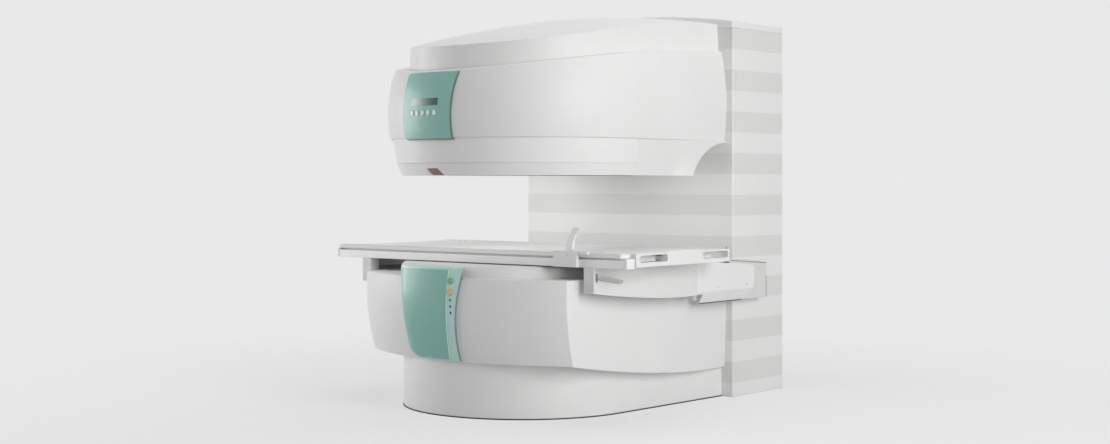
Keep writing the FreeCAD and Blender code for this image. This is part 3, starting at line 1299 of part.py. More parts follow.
def clamp_tab():
    """Flat tab on the right of the block."""
    tab = block(CLAMP_RIGHT, CLAMP_RIGHT + CLAMP_TAB_LENGTH, CLAMP_FRONT + 3, CLAMP_REAR,
                CLAMP_TOP - CLAMP_TAB_HEIGHT, CLAMP_TOP)
    return rounded(tab, 3.0, lambda e: is_upright(e) and e.BoundBox.XMin > CLAMP_RIGHT + 1)


def clamp_pin():
    """Pin across the block that the lever turns on."""
    x, _, z = clamp_pivot()
    at = Vector(x, CLAMP_FRONT - 1, z)
    return Part.makeCylinder(CLAMP_PIVOT_RADIUS, CLAMP_DEPTH + 1, at, Vector(0, 1, 0))


def clamp_lever():
    """Curved white lever with a round foot."""
    x, _, z = clamp_pivot()
    y = clamp_lever_front()
    foot_radius = CLAMP_LEVER_WIDTH / 2 - CLAMP_SLOT_CLEARANCE
    half = CLAMP_LEVER_WIDTH / 2 - 3
    lean, height = CLAMP_LEVER_LEAN, CLAMP_LEVER_LENGTH
    left = [(x - half, y, z), (x - half + lean * 0.22, y, z + height * 0.55),
            (x - half + lean, y, z + height)]
    right = [(px + 2 * half - (pz - z) * 0.05, py, pz - (pz - z) * 0.06) for px, py, pz in left]
    edges = [arc(*left), line(left[2], right[2]), arc(*reversed(right)), line(right[0], left[0])]
    blade = prism(edges, (0, CLAMP_LEVER_THICKNESS, 0))
    foot = Part.makeCylinder(foot_radius, CLAMP_LEVER_THICKNESS, Vector(x, y, z), Vector(0, 1, 0))
    body = joined([blade, foot])
    bore = Part.makeCylinder(CLAMP_PIVOT_RADIUS + CLAMP_PIN_CLEARANCE, CLAMP_DEPTH * 2,
                             Vector(x, CLAMP_FRONT - 2, z),
                             Vector(0, 1, 0))
    return body.cut(bore)


# ---- All the nodes ----
def static_nodes():
    """Everything that stays with the magnet."""
    front, rear, sides, cap = column_panels()
    nodes = {
        "column_front_cover": front,
        "column_rear_cover": rear,
        "column_side_covers": sides,
        "column_top_cap": cap,
        "upper_bulge_cover": upper_bulge_cover(),
        "upper_top_cover": upper_top_cover(),
        "upper_pole_cover": upper_pole_cover(),
        "arm_fairing": arm_fairing(),
        "laser_window": laser_window(),
        "lower_drum_cover": lower_drum_cover(),
        "lower_pole_cover": lower_pole_cover(),
        "plinth_cover": plinth_cover(),
        "plinth_seal": plinth_seal(),
        "upper_control_panel": upper_control_panel(),
        "display_window": display_window(),
        "lower_control_panel": lower_control_panel(),
        "lower_panel_insert": lower_panel_insert(),
        "indicator_lenses": indicators(),
        "lower_yoke_plate": yoke_plate(LOWER_YOKE_TOP - YOKE_PLATE),
        "upper_yoke_plate": yoke_plate(UPPER_YOKE_BOTTOM),
        "yoke_post": yoke_post(),
        "yoke_bolts": yoke_bolts(),
        "pedestals": pedestals(),
        "floor_pads": floor_pads(),
    }
    lower = magnet_stack(LOWER_POLE_TOP, 1)
    upper = magnet_stack(POLE_FACE, -1)
    nodes.update({name: group([lower[name], upper[name]]) for name in lower})
    nodes["guide_boxes"] = pair(guide_box())
    bearings = [slide_bearing(GUIDE_FRONT + COVER_WALL + offset) for offset in (0, BEARING_PITCH)]
    nodes["slide_bearings"] = group(bearings + [mirrored(b) for b in bearings])
    return nodes


def carriage_nodes():
    """The part of the table that rolls in and out."""
    return {
        "front_rail": rail(TABLE_FRONT, TABLE_HALF_LENGTH, True),
        "rear_rail": rail(TABLE_REAR - RAIL_WIDTH, REAR_RAIL_RIGHT, False),
        "cross_beams": group([cross_beam(x) for x in (-BEAM_HALF_SPACING, 0, BEAM_HALF_SPACING)]),
        "rail_end_caps": group(rail_end_caps()),
        "side_cover_right": side_cover().cut(lever_slot()),
        "side_cover_left": mirrored(side_cover()),
        "housing_screws": group(housing_screws() + [mirrored(s) for s in housing_screws()]),
        "side_knobs": group(side_knobs() + [mirrored(s) for s in side_knobs()]),
        "rear_housings": pair(rear_housing()),
        "side_arms": pair(side_arm()),
        "slide_bars": pair(slide_bar()),
        "housing_brackets": pair(housing_bracket()),
    }


def moving_nodes():
    """Pieces with a joint of their own."""
    nodes = {
        "tabletop_board": tabletop_board(),
        "rail_strips": group([rail_strip(TABLE_FRONT + STRIP_INSET),
                              rail_strip(TABLE_REAR - STRIP_INSET - STRIP_WIDTH)]),
        "end_moulding": end_moulding(),
        "end_plate": end_plate(),
        "end_knob": end_knob(),
        "release_lever": release_lever(),
        "clamp_block": clamp_block(),
        "clamp_tongue": clamp_tongue(),
        "clamp_tab": clamp_tab(),
        "clamp_pin": clamp_pin(),
        "clamp_lever": clamp_lever(),
        "start_button": push_button(START_HEIGHT),
        "stop_button": push_button(STOP_HEIGHT),
    }
    for i in range(KEY_COUNT):
        nodes["key_%d" % (i + 1)] = key(i)
    return nodes


def main():
    """Build every node and write it to parts/."""
    os.makedirs("parts", exist_ok=True)
    nodes = static_nodes()
    nodes.update(carriage_nodes())
    nodes.update(moving_nodes())
    for name, shape in nodes.items():
        shape.exportStep(os.path.join("parts", name + ".step"))
        print("%-26s solids %2d  volume %12.0f  valid %s" % (name, len(shape.Solids), shape.Volume,
                                                            shape.isValid()))
    print(len(nodes), "nodes")


main()
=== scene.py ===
"""Looks of the open C-shaped MRI scanner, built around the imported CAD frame.

Everything is in metres in the frame's own axes: +Z up, X along the patient table, -Y the front.
"""

import json
import logging
import math
from dataclasses import dataclass
from enum import Enum
from typing import Callable, Iterable, Sequence

import bmesh
import bpy
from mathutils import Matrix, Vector

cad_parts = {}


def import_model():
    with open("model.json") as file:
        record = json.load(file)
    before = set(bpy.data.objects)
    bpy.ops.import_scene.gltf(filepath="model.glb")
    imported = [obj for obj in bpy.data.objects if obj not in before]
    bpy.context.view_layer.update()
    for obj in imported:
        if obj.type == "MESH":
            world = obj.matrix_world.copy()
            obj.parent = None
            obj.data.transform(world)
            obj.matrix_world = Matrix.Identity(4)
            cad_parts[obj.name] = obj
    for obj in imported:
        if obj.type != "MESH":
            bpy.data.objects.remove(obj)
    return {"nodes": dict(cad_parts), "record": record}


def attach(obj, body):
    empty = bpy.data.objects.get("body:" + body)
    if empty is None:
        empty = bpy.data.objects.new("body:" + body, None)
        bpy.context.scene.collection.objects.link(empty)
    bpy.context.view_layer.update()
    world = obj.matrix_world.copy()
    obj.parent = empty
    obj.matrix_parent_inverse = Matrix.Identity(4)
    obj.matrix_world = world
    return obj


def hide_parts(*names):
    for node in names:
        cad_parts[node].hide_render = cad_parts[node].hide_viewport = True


LOG = logging.getLogger("scanner")
PHOTO_WIDTH = 1110
LEVEL_TOLERANCE = 0.0005
SOLID_MERGE = 0.00002
DRAFT_MERGE = 0.00001

Colour = tuple[float, float, float]
Point = tuple[float, float, float]
Place = tuple[float, float]
Piece = bpy.types.Object
Socket = bpy.types.NodeSocket
Corner = bmesh.types.BMVert


class Rise(Enum):
    """How a value goes from one end of its range to the other."""

    EVEN = "LINEAR"
    SMOOTH = "SMOOTHSTEP"


class Side(Enum):
    """A side of the scanner, by the sign of its X."""

    LEFT = -1.0
    RIGHT = 1.0


class NodeWriter:
    """Adds nodes to a tree and feeds their inputs."""

    def __init__(self, tree: bpy.types.NodeTree) -> None:
        """Start from an emptied tree."""
        tree.nodes.clear()
        self.tree = tree

    def feed(self, socket: Socket, value: object) -> None:
        """Link an input to another node, or set its value.

        Args:
            socket: The input.
            value: A socket, or a plain value.
        """
        if isinstance(value, bpy.types.NodeSocket):
            self.tree.links.new(value, socket)
        else:
            socket.default_value = value

    def add(self, kind: str, inputs: dict[str | int, object] | None = None, **values: object) -> bpy.types.Node:
        """Add a node.

        Args:
            kind: Blender's node type.
            inputs: A socket or a value for each input, by name or number.
            **values: Properties of the node, set before its inputs.

        Returns:
            The new node.
        """
        node = self.tree.nodes.new(kind)
        for name, value in values.items():
            setattr(node, name, value)
        for key, value in (inputs or {}).items():
            self.feed(node.inputs[key], value)
        return node

    def math(self, operation: str, *values: object, **settings: object) -> Socket:
        """One step of arithmetic.

        Args:
            operation: Blender's name of it.
            *values: Sockets or numbers.
            **settings: Other properties of the node.

        Returns:
            The value socket.
        """
        inputs = dict(enumerate(values))
        return self.add("ShaderNodeMath", inputs, operation=operation, **settings).outputs["Value"]

    def ramp(self, value: Socket, given: Place, result: Place = (0.0, 1.0), rise: Rise = Rise.EVEN) -> Socket:
        """Bring a value from one range to another.

        Args:
            value: The value.
            given: The ends of its range.
            result: What they become.
            rise: How it goes from one to the other.

        Returns:
            The result socket.
        """
        inputs = {"Value": value, "From Min": given[0], "From Max": given[1], "To Min": result[0],
                  "To Max": result[1]}
        return self.add("ShaderNodeMapRange", inputs, interpolation_type=rise.value).outputs["Result"]

    def seen(self) -> Socket:
        """1 for what the camera sees, directly, mirrored or through glass, and 0 for light on the object.

        Returns:
            The value socket.
        """
        path = self.add("ShaderNodeLightPath").outputs
        total = path["Is Camera Ray"]
        for name in ("Is Glossy Ray", "Is Transmission Ray"):
            total = self.math("ADD", total, path[name], use_clamp=True)
        return total


class MaterialWriter(NodeWriter):
    """Writes a material round one shader."""

    NOISE_MIDDLE = (0.3, 0.7)

    def __init__(self, material: bpy.types.Material) -> None:
        """Empty the tree and add the shader and the output.

        Args:
            material: The material to write.
        """
        material.use_nodes = True
        super().__init__(material.node_tree)
        self.shader = self.add("ShaderNodeBsdfPrincipled")
        self.output = self.add("ShaderNodeOutputMaterial", {"Surface": self.shader.outputs["BSDF"]})

    def give(self, inputs: dict[str, object]) -> None:
        """Feed the shader's inputs, by name."""
        for name, value in inputs.items():
            self.feed(self.shader.inputs[name], value)

    def place(self, stretch: Point = (1.0, 1.0, 1.0)) -> Socket:
        """Object coordinates, scaled along the three axes."""
        coords = self.add("ShaderNodeTexCoord").outputs["Object"]
        return self.add("ShaderNodeMapping", {"Vector": coords, "Scale": stretch}).outputs["Vector"]

    def axis(self, name: str) -> Socket:
        """One of the object coordinates: X, Y or Z."""
        coords = self.add("ShaderNodeTexCoord").outputs["Object"]
        return self.add("ShaderNodeSeparateXYZ", {"Vector": coords}).outputs[name]

    def noise(self, vector: Socket, scale: float, detail: float) -> Socket:
        """A noise pattern.

        Args:
            vector: Where it is read.
            scale: Repeats per metre.
            detail: Octaves.

        Returns:
            The factor socket.
        """
        inputs = {"Vector": vector, "Scale": scale, "Detail": detail}
        return self.add("ShaderNodeTexNoise", inputs).outputs["Fac"]

    def uneven(self, vector: Socket, scale: float, detail: float, result: Place = (0.0, 1.0)) -> Socket:
        """A noise pattern with its middle brought to a range.

        Args:
            vector: Where it is read.
            scale: Repeats per metre.
            detail: Octaves.
            result: The range.

        Returns:
            The result socket.
        """
        return self.ramp(self.noise(vector, scale, detail), self.NOISE_MIDDLE, result)

    def blend(self, factor: Socket, first: object, second: object) -> Socket:
        """Mix two colours.

        Args:
            factor: How much of the second.
            first: A colour or a socket.
            second: A colour or a socket.

        Returns:
            The colour socket.
        """
        inputs: dict[str | int, object] = {0: factor}
        for number, value in ((6, first), (7, second)):
            inputs[number] = value if isinstance(value, bpy.types.NodeSocket) else (*value, 1.0)
        return self.add("ShaderNodeMix", inputs, data_type="RGBA").outputs[2]


def shade(colour: Colour, factor: float) -> Colour:
    """A colour with each channel multiplied by a factor."""
    return (colour[0] * factor, colour[1] * factor, colour[2] * factor)


@dataclass(frozen=True)
class Relief:
    """Fine relief of a surface: repeats per metre, depth in metres, strength, and scale along the axes."""

    grain: float = 420.0
    depth: float = 0.00012
    strength: float = 0.12
    stretch: Point = (1.0, 1.0, 1.0)


class Surface(Enum):
    """The kinds of surface on the scanner."""

    MOULDED = Relief()
    SATIN = Relief(strength=0.05)
    GLASS = Relief(strength=0.02)
    FINE = Relief(grain=1500.0)
    DRAWN_ALONG_X = Relief(grain=900.0, stretch=(0.08, 1.0, 1.0))
    DRAWN_ALONG_Y = Relief(grain=900.0, stretch=(1.0, 0.15, 1.0))
    CAST = Relief(grain=160.0, depth=0.0006, strength=0.4)


@dataclass(frozen=True)
class Bands:
    """Level bands up the column, in metres."""

    top: float = 1.967
    height: float = 0.1113
    count: int = 9
    last_share: float = 0.25
    colour: Colour = (0.715, 0.715, 0.705)

    def mask(self, tree: MaterialWriter) -> Socket:
        """1 inside a band and 0 between two.

        Args:
            tree: The writer of the material's tree.

        Returns:
            The value socket.
        """
        below = tree.math("SUBTRACT", self.top, tree.axis("Z"))
        turn = tree.math("DIVIDE", below, 2.0 * self.height)
        in_band = tree.math("LESS_THAN", tree.math("FRACT", turn), 0.5)
        started = tree.math("GREATER_THAN", below, 0.0)
        unfinished = tree.math("LESS_THAN", turn, self.count - self.last_share)
        return tree.math("MULTIPLY", tree.math("MULTIPLY", in_band, started), unfinished)


@dataclass(frozen=True)
class PaintedReflectionFade:
    """A second colour that takes over along X, in metres, where a painted reflection in the first colour gives way to
    the second.
    """

    start: float
    end: float
    colour: Colour

    def share(self, tree: MaterialWriter) -> Socket:
        """How much of the second colour shows."""
        return tree.ramp(tree.axis("X"), (self.start, self.end), rise=Rise.SMOOTH)


@dataclass(frozen=True)
class Finish:
    """One surface finish of the scanner.

    Colours are linear. The tone is how far the colour wanders, and the patch is its repeats per metre.
    """

    name: str
    colour: Colour
    roughness: float = 0.4
    tone: float = 0.03
    patch: float = 2.5
    surface: Surface = Surface.MOULDED
    roughness_spread: float = 0.06
    metallic: float = 0.0
    coat: float = 0.0
    bands: Bands | None = None
    fade: PaintedReflectionFade | None = None

    WANDER_DETAIL = 4.0
    GLOSS_DETAIL = 5.0
    GLOSS_PATCHES = 9.0
    GRAIN_DETAIL = 2.0
    COAT_ROUGHNESS = 0.15

    def material(self) -> bpy.types.Material:
        """Build the material, or hand out the one built before if it has the finish's own name.

        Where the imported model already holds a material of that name, each call builds a new one.

        Returns:
            The material.
        """
        found = bpy.data.materials.get(self.name)
        if found is not None and found.get("written"):
            return found
        made = bpy.data.materials.new(self.name)
        made.name = self.name
        made["written"] = True
        self.write(MaterialWriter(made))
        return made

    def write(self, tree: MaterialWriter) -> None:
        """Write the node tree: colour that wanders, uneven gloss and a fine relief.

        Args:
            tree: The writer of this material's tree.
        """
        relief = self.surface.value
        place = tree.place(relief.stretch)
        wander = tree.uneven(place, self.patch, self.WANDER_DETAIL)
        colour = self.wandering(tree, wander, self.colour)
        if self.bands is not None:
            colour = tree.blend(self.bands.mask(tree), colour, self.wandering(tree, wander, self.bands.colour))
        # A fade paints a reflection: the base colour gives way to the fade's own colour along X.
        if self.fade is not None:
            colour = tree.blend(self.fade.share(tree), colour, self.fade.colour)
        gloss = tree.uneven(place, self.patch * self.GLOSS_PATCHES, self.GLOSS_DETAIL,
                            (self.roughness - self.roughness_spread, self.roughness + self.roughness_spread))
        bump = tree.add("ShaderNodeBump", {"Strength": relief.strength, "Distance": relief.depth,
                                           "Height": tree.noise(place, relief.grain, self.GRAIN_DETAIL)})
        tree.give({"Base Color": colour, "Roughness": gloss, "Normal": bump.outputs["Normal"],
                   "Metallic": self.metallic, "Coat Weight": self.coat, "Coat Roughness": self.COAT_ROUGHNESS})

    def wandering(self, tree: MaterialWriter, wander: Socket, colour: Colour) -> Socket:
        """A colour that gets slightly darker and lighter from place to place."""
        return tree.blend(wander, shade(colour, 1.0 - self.tone), shade(colour, 1.0 + self.tone))


class Finishes:
    """All the finishes of the scanner: name, colour, roughness, tone and patch, then what sets each apart."""

    COVER = Finish("cover_gloss", (0.81, 0.81, 0.805), 0.52, 0.015, coat=0.04)
    COLUMN = Finish("column_banded", (0.80, 0.80, 0.795), 0.52, 0.012, bands=Bands())
    PLINTH = Finish("plinth_gloss", (0.81, 0.81, 0.805), 0.5, 0.015)
    SEAL = Finish("floor_seal", (0.02, 0.02, 0.02), 0.7, 0.1)
    PANEL = Finish("panel_grey_green", (0.255, 0.52, 0.46), 0.46, 0.015, 2.0, Surface.SATIN, 0.02, coat=0.2)
    STRIP = Finish("strip_pale_green", (0.51, 0.77, 0.715), 0.4, 0.015, 2.0, Surface.SATIN, 0.02, coat=0.2)
    INSERT = Finish("insert_grey_green", (0.235, 0.505, 0.445), 0.4, 0.01, 2.0, Surface.SATIN, 0.015, coat=0.2)
    # The inlay's walls are painted pale as a highlight along its edges.
    INSERT_EDGE = Finish("insert_edge_pale", (0.66, 0.85, 0.81), 0.4, 0.015, 2.0)
    # Dark walls of the panels and the dark rim round the upper panel are painted shade of the gaps round them.
    PANEL_EDGE = Finish("panel_edge_dark", (0.17, 0.24, 0.23), 0.5, 0.05, 6.0)
    # The display's pale teal base colour is a painted reflection; along X it fades into the glass's own dark green.
    DISPLAY = Finish("display_glass", (0.42, 0.56, 0.53), 0.3, 0.04, 14.0, Surface.GLASS, coat=0.1,
                     fade=PaintedReflectionFade(-0.125, 0.055, (0.035, 0.10, 0.09)))
    LASER = Finish("laser_glass", (0.26, 0.085, 0.065), 0.25, 0.08, 14.0, Surface.GLASS, coat=0.8)
    # The lever is white; its colour is set lighter than the table's white to paint light on its shaded blade.
    CLAMP_LEVER = Finish("clamp_lever_white", (0.94, 0.94, 0.935), 0.35, 0.01, 8.0)
    # Dark strips that paint the shadow in the gaps beside the guide boxes and under the rear housings.
    SEAM = Finish("seam_dark", (0.10, 0.10, 0.095), 0.6, 0.1, 12.0)
    POLE = Finish("pole_cover_gloss", (0.84, 0.84, 0.835), 0.52, 0.015, coat=0.04)
    KEY = Finish("key_pale", (0.90, 0.91, 0.90), 0.3, 0.03, 30.0, Surface.FINE)
    START = Finish("button_green", (0.17, 0.44, 0.22), 0.3, 0.05, 30.0, coat=0.4)
    STOP = Finish("button_orange", (0.86, 0.44, 0.16), 0.3, 0.05, 30.0, coat=0.4)
    LENS = Finish("lens_dark", (0.03, 0.05, 0.05), 0.2, 0.1, 40.0, coat=0.8)
    TABLE = Finish("table_laminate", (0.87, 0.87, 0.865), 0.62, 0.015, 3.0)
    TABLE_SIDE = Finish("table_side_cover", (0.76, 0.76, 0.755), 0.45, 0.015, 3.0)
    GUIDE = Finish("guide_grey", (0.68, 0.68, 0.675), 0.5, 0.02, 5.0)
    TABLE_GREY = Finish("table_moulding", (0.81, 0.81, 0.805), 0.45, 0.02, 5.0)
    RAIL = Finish("rail_anodised", (0.85, 0.85, 0.845), 0.4, 0.03, 4.0, Surface.DRAWN_ALONG_X, metallic=0.1)
    LEVER = Finish("lever_grey", (0.46, 0.46, 0.455), 0.45, 0.05, 20.0)
    YOKE = Finish("yoke_paint", (0.11, 0.12, 0.13), 0.6, 0.12, 6.0, Surface.CAST)
    MAGNET = Finish("magnet_coating", (0.03, 0.03, 0.035), 0.45, 0.12, 8.0)
    COIL = Finish("coil_resin", (0.28, 0.13, 0.05), 0.4, 0.12, 9.0, coat=0.3)
    STEEL = Finish("zinc_steel", (0.55, 0.56, 0.57), 0.35, 0.06, 12.0, Surface.DRAWN_ALONG_Y, metallic=1.0)


KEYS = ("key_1", "key_2", "key_3", "key_4", "key_5")
NODE_FINISH: dict[str, Finish] = {node: finish for finish, nodes in (
    (Finishes.COLUMN, ("column_front_cover", "column_rear_cover", "column_side_covers", "column_top_cap")),
    (Finishes.COVER, ("upper_bulge_cover", "upper_top_cover", "arm_fairing", "lower_drum_cover",
                      "lower_pole_cover")),
    (Finishes.POLE, ("upper_pole_cover",)),
    (Finishes.LASER, ("laser_window",)),
    (Finishes.PLINTH, ("plinth_cover",)),
    (Finishes.SEAL, ("plinth_seal",)),
    (Finishes.PANEL, ("upper_control_panel",)),
    (Finishes.DISPLAY, ("display_window",)),
    (Finishes.STRIP, ("lower_control_panel",)),
    (Finishes.INSERT, ("lower_panel_insert",)),
    (Finishes.LENS, ("indicator_lenses",)),
    (Finishes.KEY, KEYS),
    (Finishes.START, ("start_button",)),
    (Finishes.STOP, ("stop_button",)),
    (Finishes.YOKE, ("lower_yoke_plate", "upper_yoke_plate", "yoke_post", "pedestals", "floor_pads",
                     "pole_pieces")),
    (Finishes.MAGNET, ("magnet_blocks",)),
    (Finishes.COIL, ("rf_coils", "gradient_coils")),
    (Finishes.STEEL, ("yoke_bolts", "slide_bearings", "side_arms", "slide_bars", "housing_brackets",
                      "clamp_tongue", "clamp_pin")),
    (Finishes.GUIDE, ("guide_boxes",)),
    (Finishes.RAIL, ("front_rail", "rear_rail", "cross_beams")),
    (Finishes.TABLE, ("tabletop_board", "end_plate", "rail_end_caps")),
    (Finishes.TABLE_SIDE, ("side_cover_right", "side_cover_left")),
    (Finishes.TABLE_GREY, ("rear_housings", "rail_strips", "end_moulding", "clamp_block", "clamp_tab")),
    (Finishes.LEVER, ("housing_screws", "side_knobs", "end_knob", "release_lever")),
    (Finishes.CLAMP_LEVER, ("clamp_lever",)),
) for node in nodes}


class Draft:
    """Points and faces of a mesh that is being built."""

    def __init__(self, mesh: bmesh.types.BMesh | None = None) -> None:
        """Start from a mesh or from nothing."""
        self.mesh = mesh or bmesh.new()

    @classmethod
    def merged(cls, node: Piece) -> "Draft":
        """A solid's mesh with its loose triangles joined.

        Args:
            node: The solid.

        Returns:
            The draft.
        """
        mesh = bmesh.new()
        mesh.from_mesh(node.data)
        bmesh.ops.remove_doubles(mesh, verts=mesh.verts, dist=SOLID_MERGE)
        return cls(mesh)

    def row(self, points: Iterable[Point]) -> list[Corner]:
        """Add a row of points."""
        return [self.mesh.verts.new(point) for point in points]

    def skin(self, rows: Sequence[Sequence[Corner]], ring: bool = False) -> None:
        """Lay four-sided faces between neighbouring rows.

        Args:
            rows: Rows of equal length.
            ring: Whether each row closes on itself.
        """
        for low, high in zip(rows, rows[1:]):
            count = len(low)
            for i in range(count if ring else count - 1):
                j = (i + 1) % count
                self.face((low[i], low[j], high[j], high[i]))

    def post(self, ends: Sequence[Sequence[Point]]) -> None:
        """Add a closed post between two outlines.

        Args:
            ends: The points of each outline, in the same order.
        """
        rows = [self.row(end) for end in ends]
        self.skin(rows, ring=True)
        for row in rows:
            self.face(row)

    def face(self, corners: Sequence[Corner]) -> None:
        """Add a face, leaving out corners that come twice.

        Args:
            corners: Its corners in order.
        """
        kept = list(dict.fromkeys(corners))
        if len(kept) > 2:
            self.mesh.faces.new(kept)

    def object(self, name: str) -> Piece:
        """Close the draft and link it as an object at the origin.

        Args:
            name: Its name.

        Returns:
            The object, with faces that agree on their outside.
        """
        bmesh.ops.remove_doubles(self.mesh, verts=self.mesh.verts, dist=DRAFT_MERGE)
        bmesh.ops.recalc_face_normals(self.mesh, faces=self.mesh.faces)
        mesh = bpy.data.meshes.new(name)
        self.mesh.to_mesh(mesh)
        self.mesh.free()
        piece = bpy.data.objects.new(name, mesh)
        bpy.context.scene.collection.objects.link(piece)
        return piece


@dataclass
class Frame:
    nodes: dict[str, Piece]
    body_of: dict[str, str]
    slot_of: dict[str, str]

    FLAT_DEGREES = 0.4

    @classmethod
    def load(cls) -> "Frame":
        """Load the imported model.

        Returns:
            The frame.
        """
        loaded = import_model()
        record = loaded["record"]
        slots = {row["node"]: row["material_slot"] for row in record["subparts"]}
        bodies = {node: body for body, nodes in record["behaviour"]["bodies"].items() for node in nodes}
        return cls(loaded["nodes"], bodies, slots)

    def dress(self, finishes: dict[str, Finish]) -> None:
        """Give every carried-over solid its finish.

        Args:
            finishes: Finish of each node.
        """
        for name, node in self.nodes.items():
            node.data.materials.clear()
            node.data.materials.append(finishes[name].material())

    def copy(self, name: str) -> Piece:
        """A merged copy of a node, free to be worked on.

        Args:
            name: The node.

        Returns:
            The new object.
        """
        draft = Draft.merged(self.nodes[name])
        bmesh.ops.dissolve_limit(draft.mesh, angle_limit=math.radians(self.FLAT_DEGREES), verts=draft.mesh.verts,
                                 edges=draft.mesh.edges)
        return draft.object(name + "_dressed")


@dataclass(frozen=True)
class Edging:
    """How the edges of a moulded or machined piece are eased, in metres and degrees."""

    width: float
    segments: int = 3
    from_angle: float = 28.0
    wall: float = 0.0

    CRISP_DEGREES = 42.0

    def apply(self, piece: Piece) -> None:
        """Give the piece its wall and its eased edges, and shade it smoothly between crisp edges.

        Args:
            piece: The piece. Its mesh becomes a plain one.
        """
        if self.wall:
            solid = piece.modifiers.new("wall", "SOLIDIFY")
            solid.thickness = self.wall
            solid.offset = -1.0
        if self.width:
            bevel = piece.modifiers.new("edges", "BEVEL")
            bevel.width = self.width
            bevel.segments = self.segments
            bevel.limit_method = "ANGLE"
            bevel.angle_limit = math.radians(self.from_angle)
            bevel.use_clamp_overlap = True
        self.settle(piece)
        piece.data.polygons.foreach_set("use_smooth", [True] * len(piece.data.polygons))
        piece.data.set_sharp_from_angle(angle=math.radians(self.CRISP_DEGREES))
        normals = piece.modifiers.new("normals", "WEIGHTED_NORMAL")
        normals.keep_sharp = True
        self.settle(piece)

    @staticmethod
    def settle(piece: Piece) -> None:
        """Turn a piece's modifiers into its plain mesh.

        Args:
            piece: The piece.
        """
        bpy.context.view_layer.update()
        graph = bpy.context.evaluated_depsgraph_get()
        mesh = bpy.data.meshes.new_from_object(piece.evaluated_get(graph))
        piece.modifiers.clear()
        piece.data = mesh


@dataclass
class Workshop:
    """Hands finished pieces over to the frame."""

    frame: Frame

    def carry(self, piece: Piece, node: str) -> None:
        """Let a piece ride with a node's body.

        Args:
            piece: The finished piece.
            node: The solid that it goes with.
        """
        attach(piece, self.frame.body_of[node])
        LOG.info("%s: %d faces", piece.name, len(piece.data.polygons))

    def hand_in(self, piece: Piece, node: str, edging: Edging | None = None) -> None:
        """Ease a piece, dress it unless it is dressed, and let it stand for a node.

        Args:
            piece: The piece.
            node: The solid that it stands for. That one is hidden.
            edging: How its edges are eased, where they still have to be.
        """
        if edging is not None:
            edging.apply(piece)
        if not piece.data.materials:
            piece.data.materials.append(NODE_FINISH[node].material())
        self.carry(piece, node)
        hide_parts(node)

    def ease(self, edging: Edging, *nodes: str, shift: Callable[[Vector], Vector] | None = None) -> None:
        """Stand in for solids by copies with eased edges and smooth shading.

        Args:
            edging: How their edges are eased.
            *nodes: The solids.
            shift: Gives each point of a copy its new place.
        """
        for node in nodes:
            piece = self.frame.copy(node)
            if shift is not None:
                for vert in piece.data.vertices:
                    vert.co = shift(vert.co)
            self.hand_in(piece, node, edging)


def parabola(start: Place, middle: Place, end: Place, at: float) -> float:
    """Value of the parabola through three points.

    Args:
        start: First point.
        middle: Second point.
        end: Third point.
        at: Where it is read.

    Returns:
        The value there.
    """
    total = 0.0
    points = (start, middle, end)
    for i, (own, value) in enumerate(points):
        share = value
        for j, (other, _) in enumerate(points):
            if i != j:
                share *= (at - other) / (own - other)
        total += share
    return total


def arc_point(start: Place, middle: Place, end: Place, share: float) -> Place:
    """Point on the circular arc through three points.

    Args:
        start: Where the arc starts.
        middle: A point on it.
        end: Where it ends.
        share: How far along, from 0 to 1.

    Returns:
        The point.
    """
    (ax, ay), (bx, by), (cx, cy) = start, middle, end
    twice = 2.0 * (ax * (by - cy) + bx * (cy - ay) + cx * (ay - by))
    a2, b2, c2 = ax * ax + ay * ay, bx * bx + by * by, cx * cx + cy * cy
    ox = (a2 * (by - cy) + b2 * (cy - ay) + c2 * (ay - by)) / twice
    oy = (a2 * (cx - bx) + b2 * (ax - cx) + c2 * (bx - ax)) / twice
    first = math.atan2(ay - oy, ax - ox)
    turns = [(math.atan2(y - oy, x - ox) - first) % math.tau for x, y in (middle, end)]
    sweep = turns[1] if turns[0] < turns[1] else turns[1] - math.tau
    radius = math.hypot(ax - ox, ay - oy)
    angle = first + sweep * share
    return (ox + radius * math.cos(angle), oy + radius * math.sin(angle))


def ring_point(radius: float, angle: float, height: float) -> Point:
    """Point at a radius and an angle round the pole's axis."""
    return (radius * math.cos(angle), radius * math.sin(angle), height)


def at_radius(place: Point, radius: float) -> Point:
    """A point moved level to a radius from the pole's axis."""
    away = math.hypot(place[0], place[1])
    return (place[0] / away * radius, place[1] / away * radius, place[2])


@dataclass(frozen=True)
class NosePlan:
    """Plan outline of the upper unit: a half round front and gently bowed sides back to the column."""

    back: float = 0.856
    front_steps: int = 95
    side_steps: int = 20

    def point(self, index: int, radius: float, rear_half: float) -> Place:
        """One point of the outline, from the left rear corner round the front to the right one.

        Args:
            index: Number of the point.
            radius: Radius of the front.
            rear_half: Half width at the column.

        Returns:
            Its X and Y.
        """
        last = self.count() - 1
        if index < self.side_steps or index > last - self.side_steps:
            share = 1.0 - min(index, last - index) / self.side_steps
            x = radius - (radius - rear_half) * share * share
            return (-x if index < self.side_steps else x, share * self.back)
        angle = math.pi * (index - self.side_steps) / self.front_steps
        return (-radius * math.cos(angle), -radius * math.sin(angle))

    def count(self) -> int:
        """How many points the outline has."""
        return 2 * self.side_steps + self.front_steps + 1


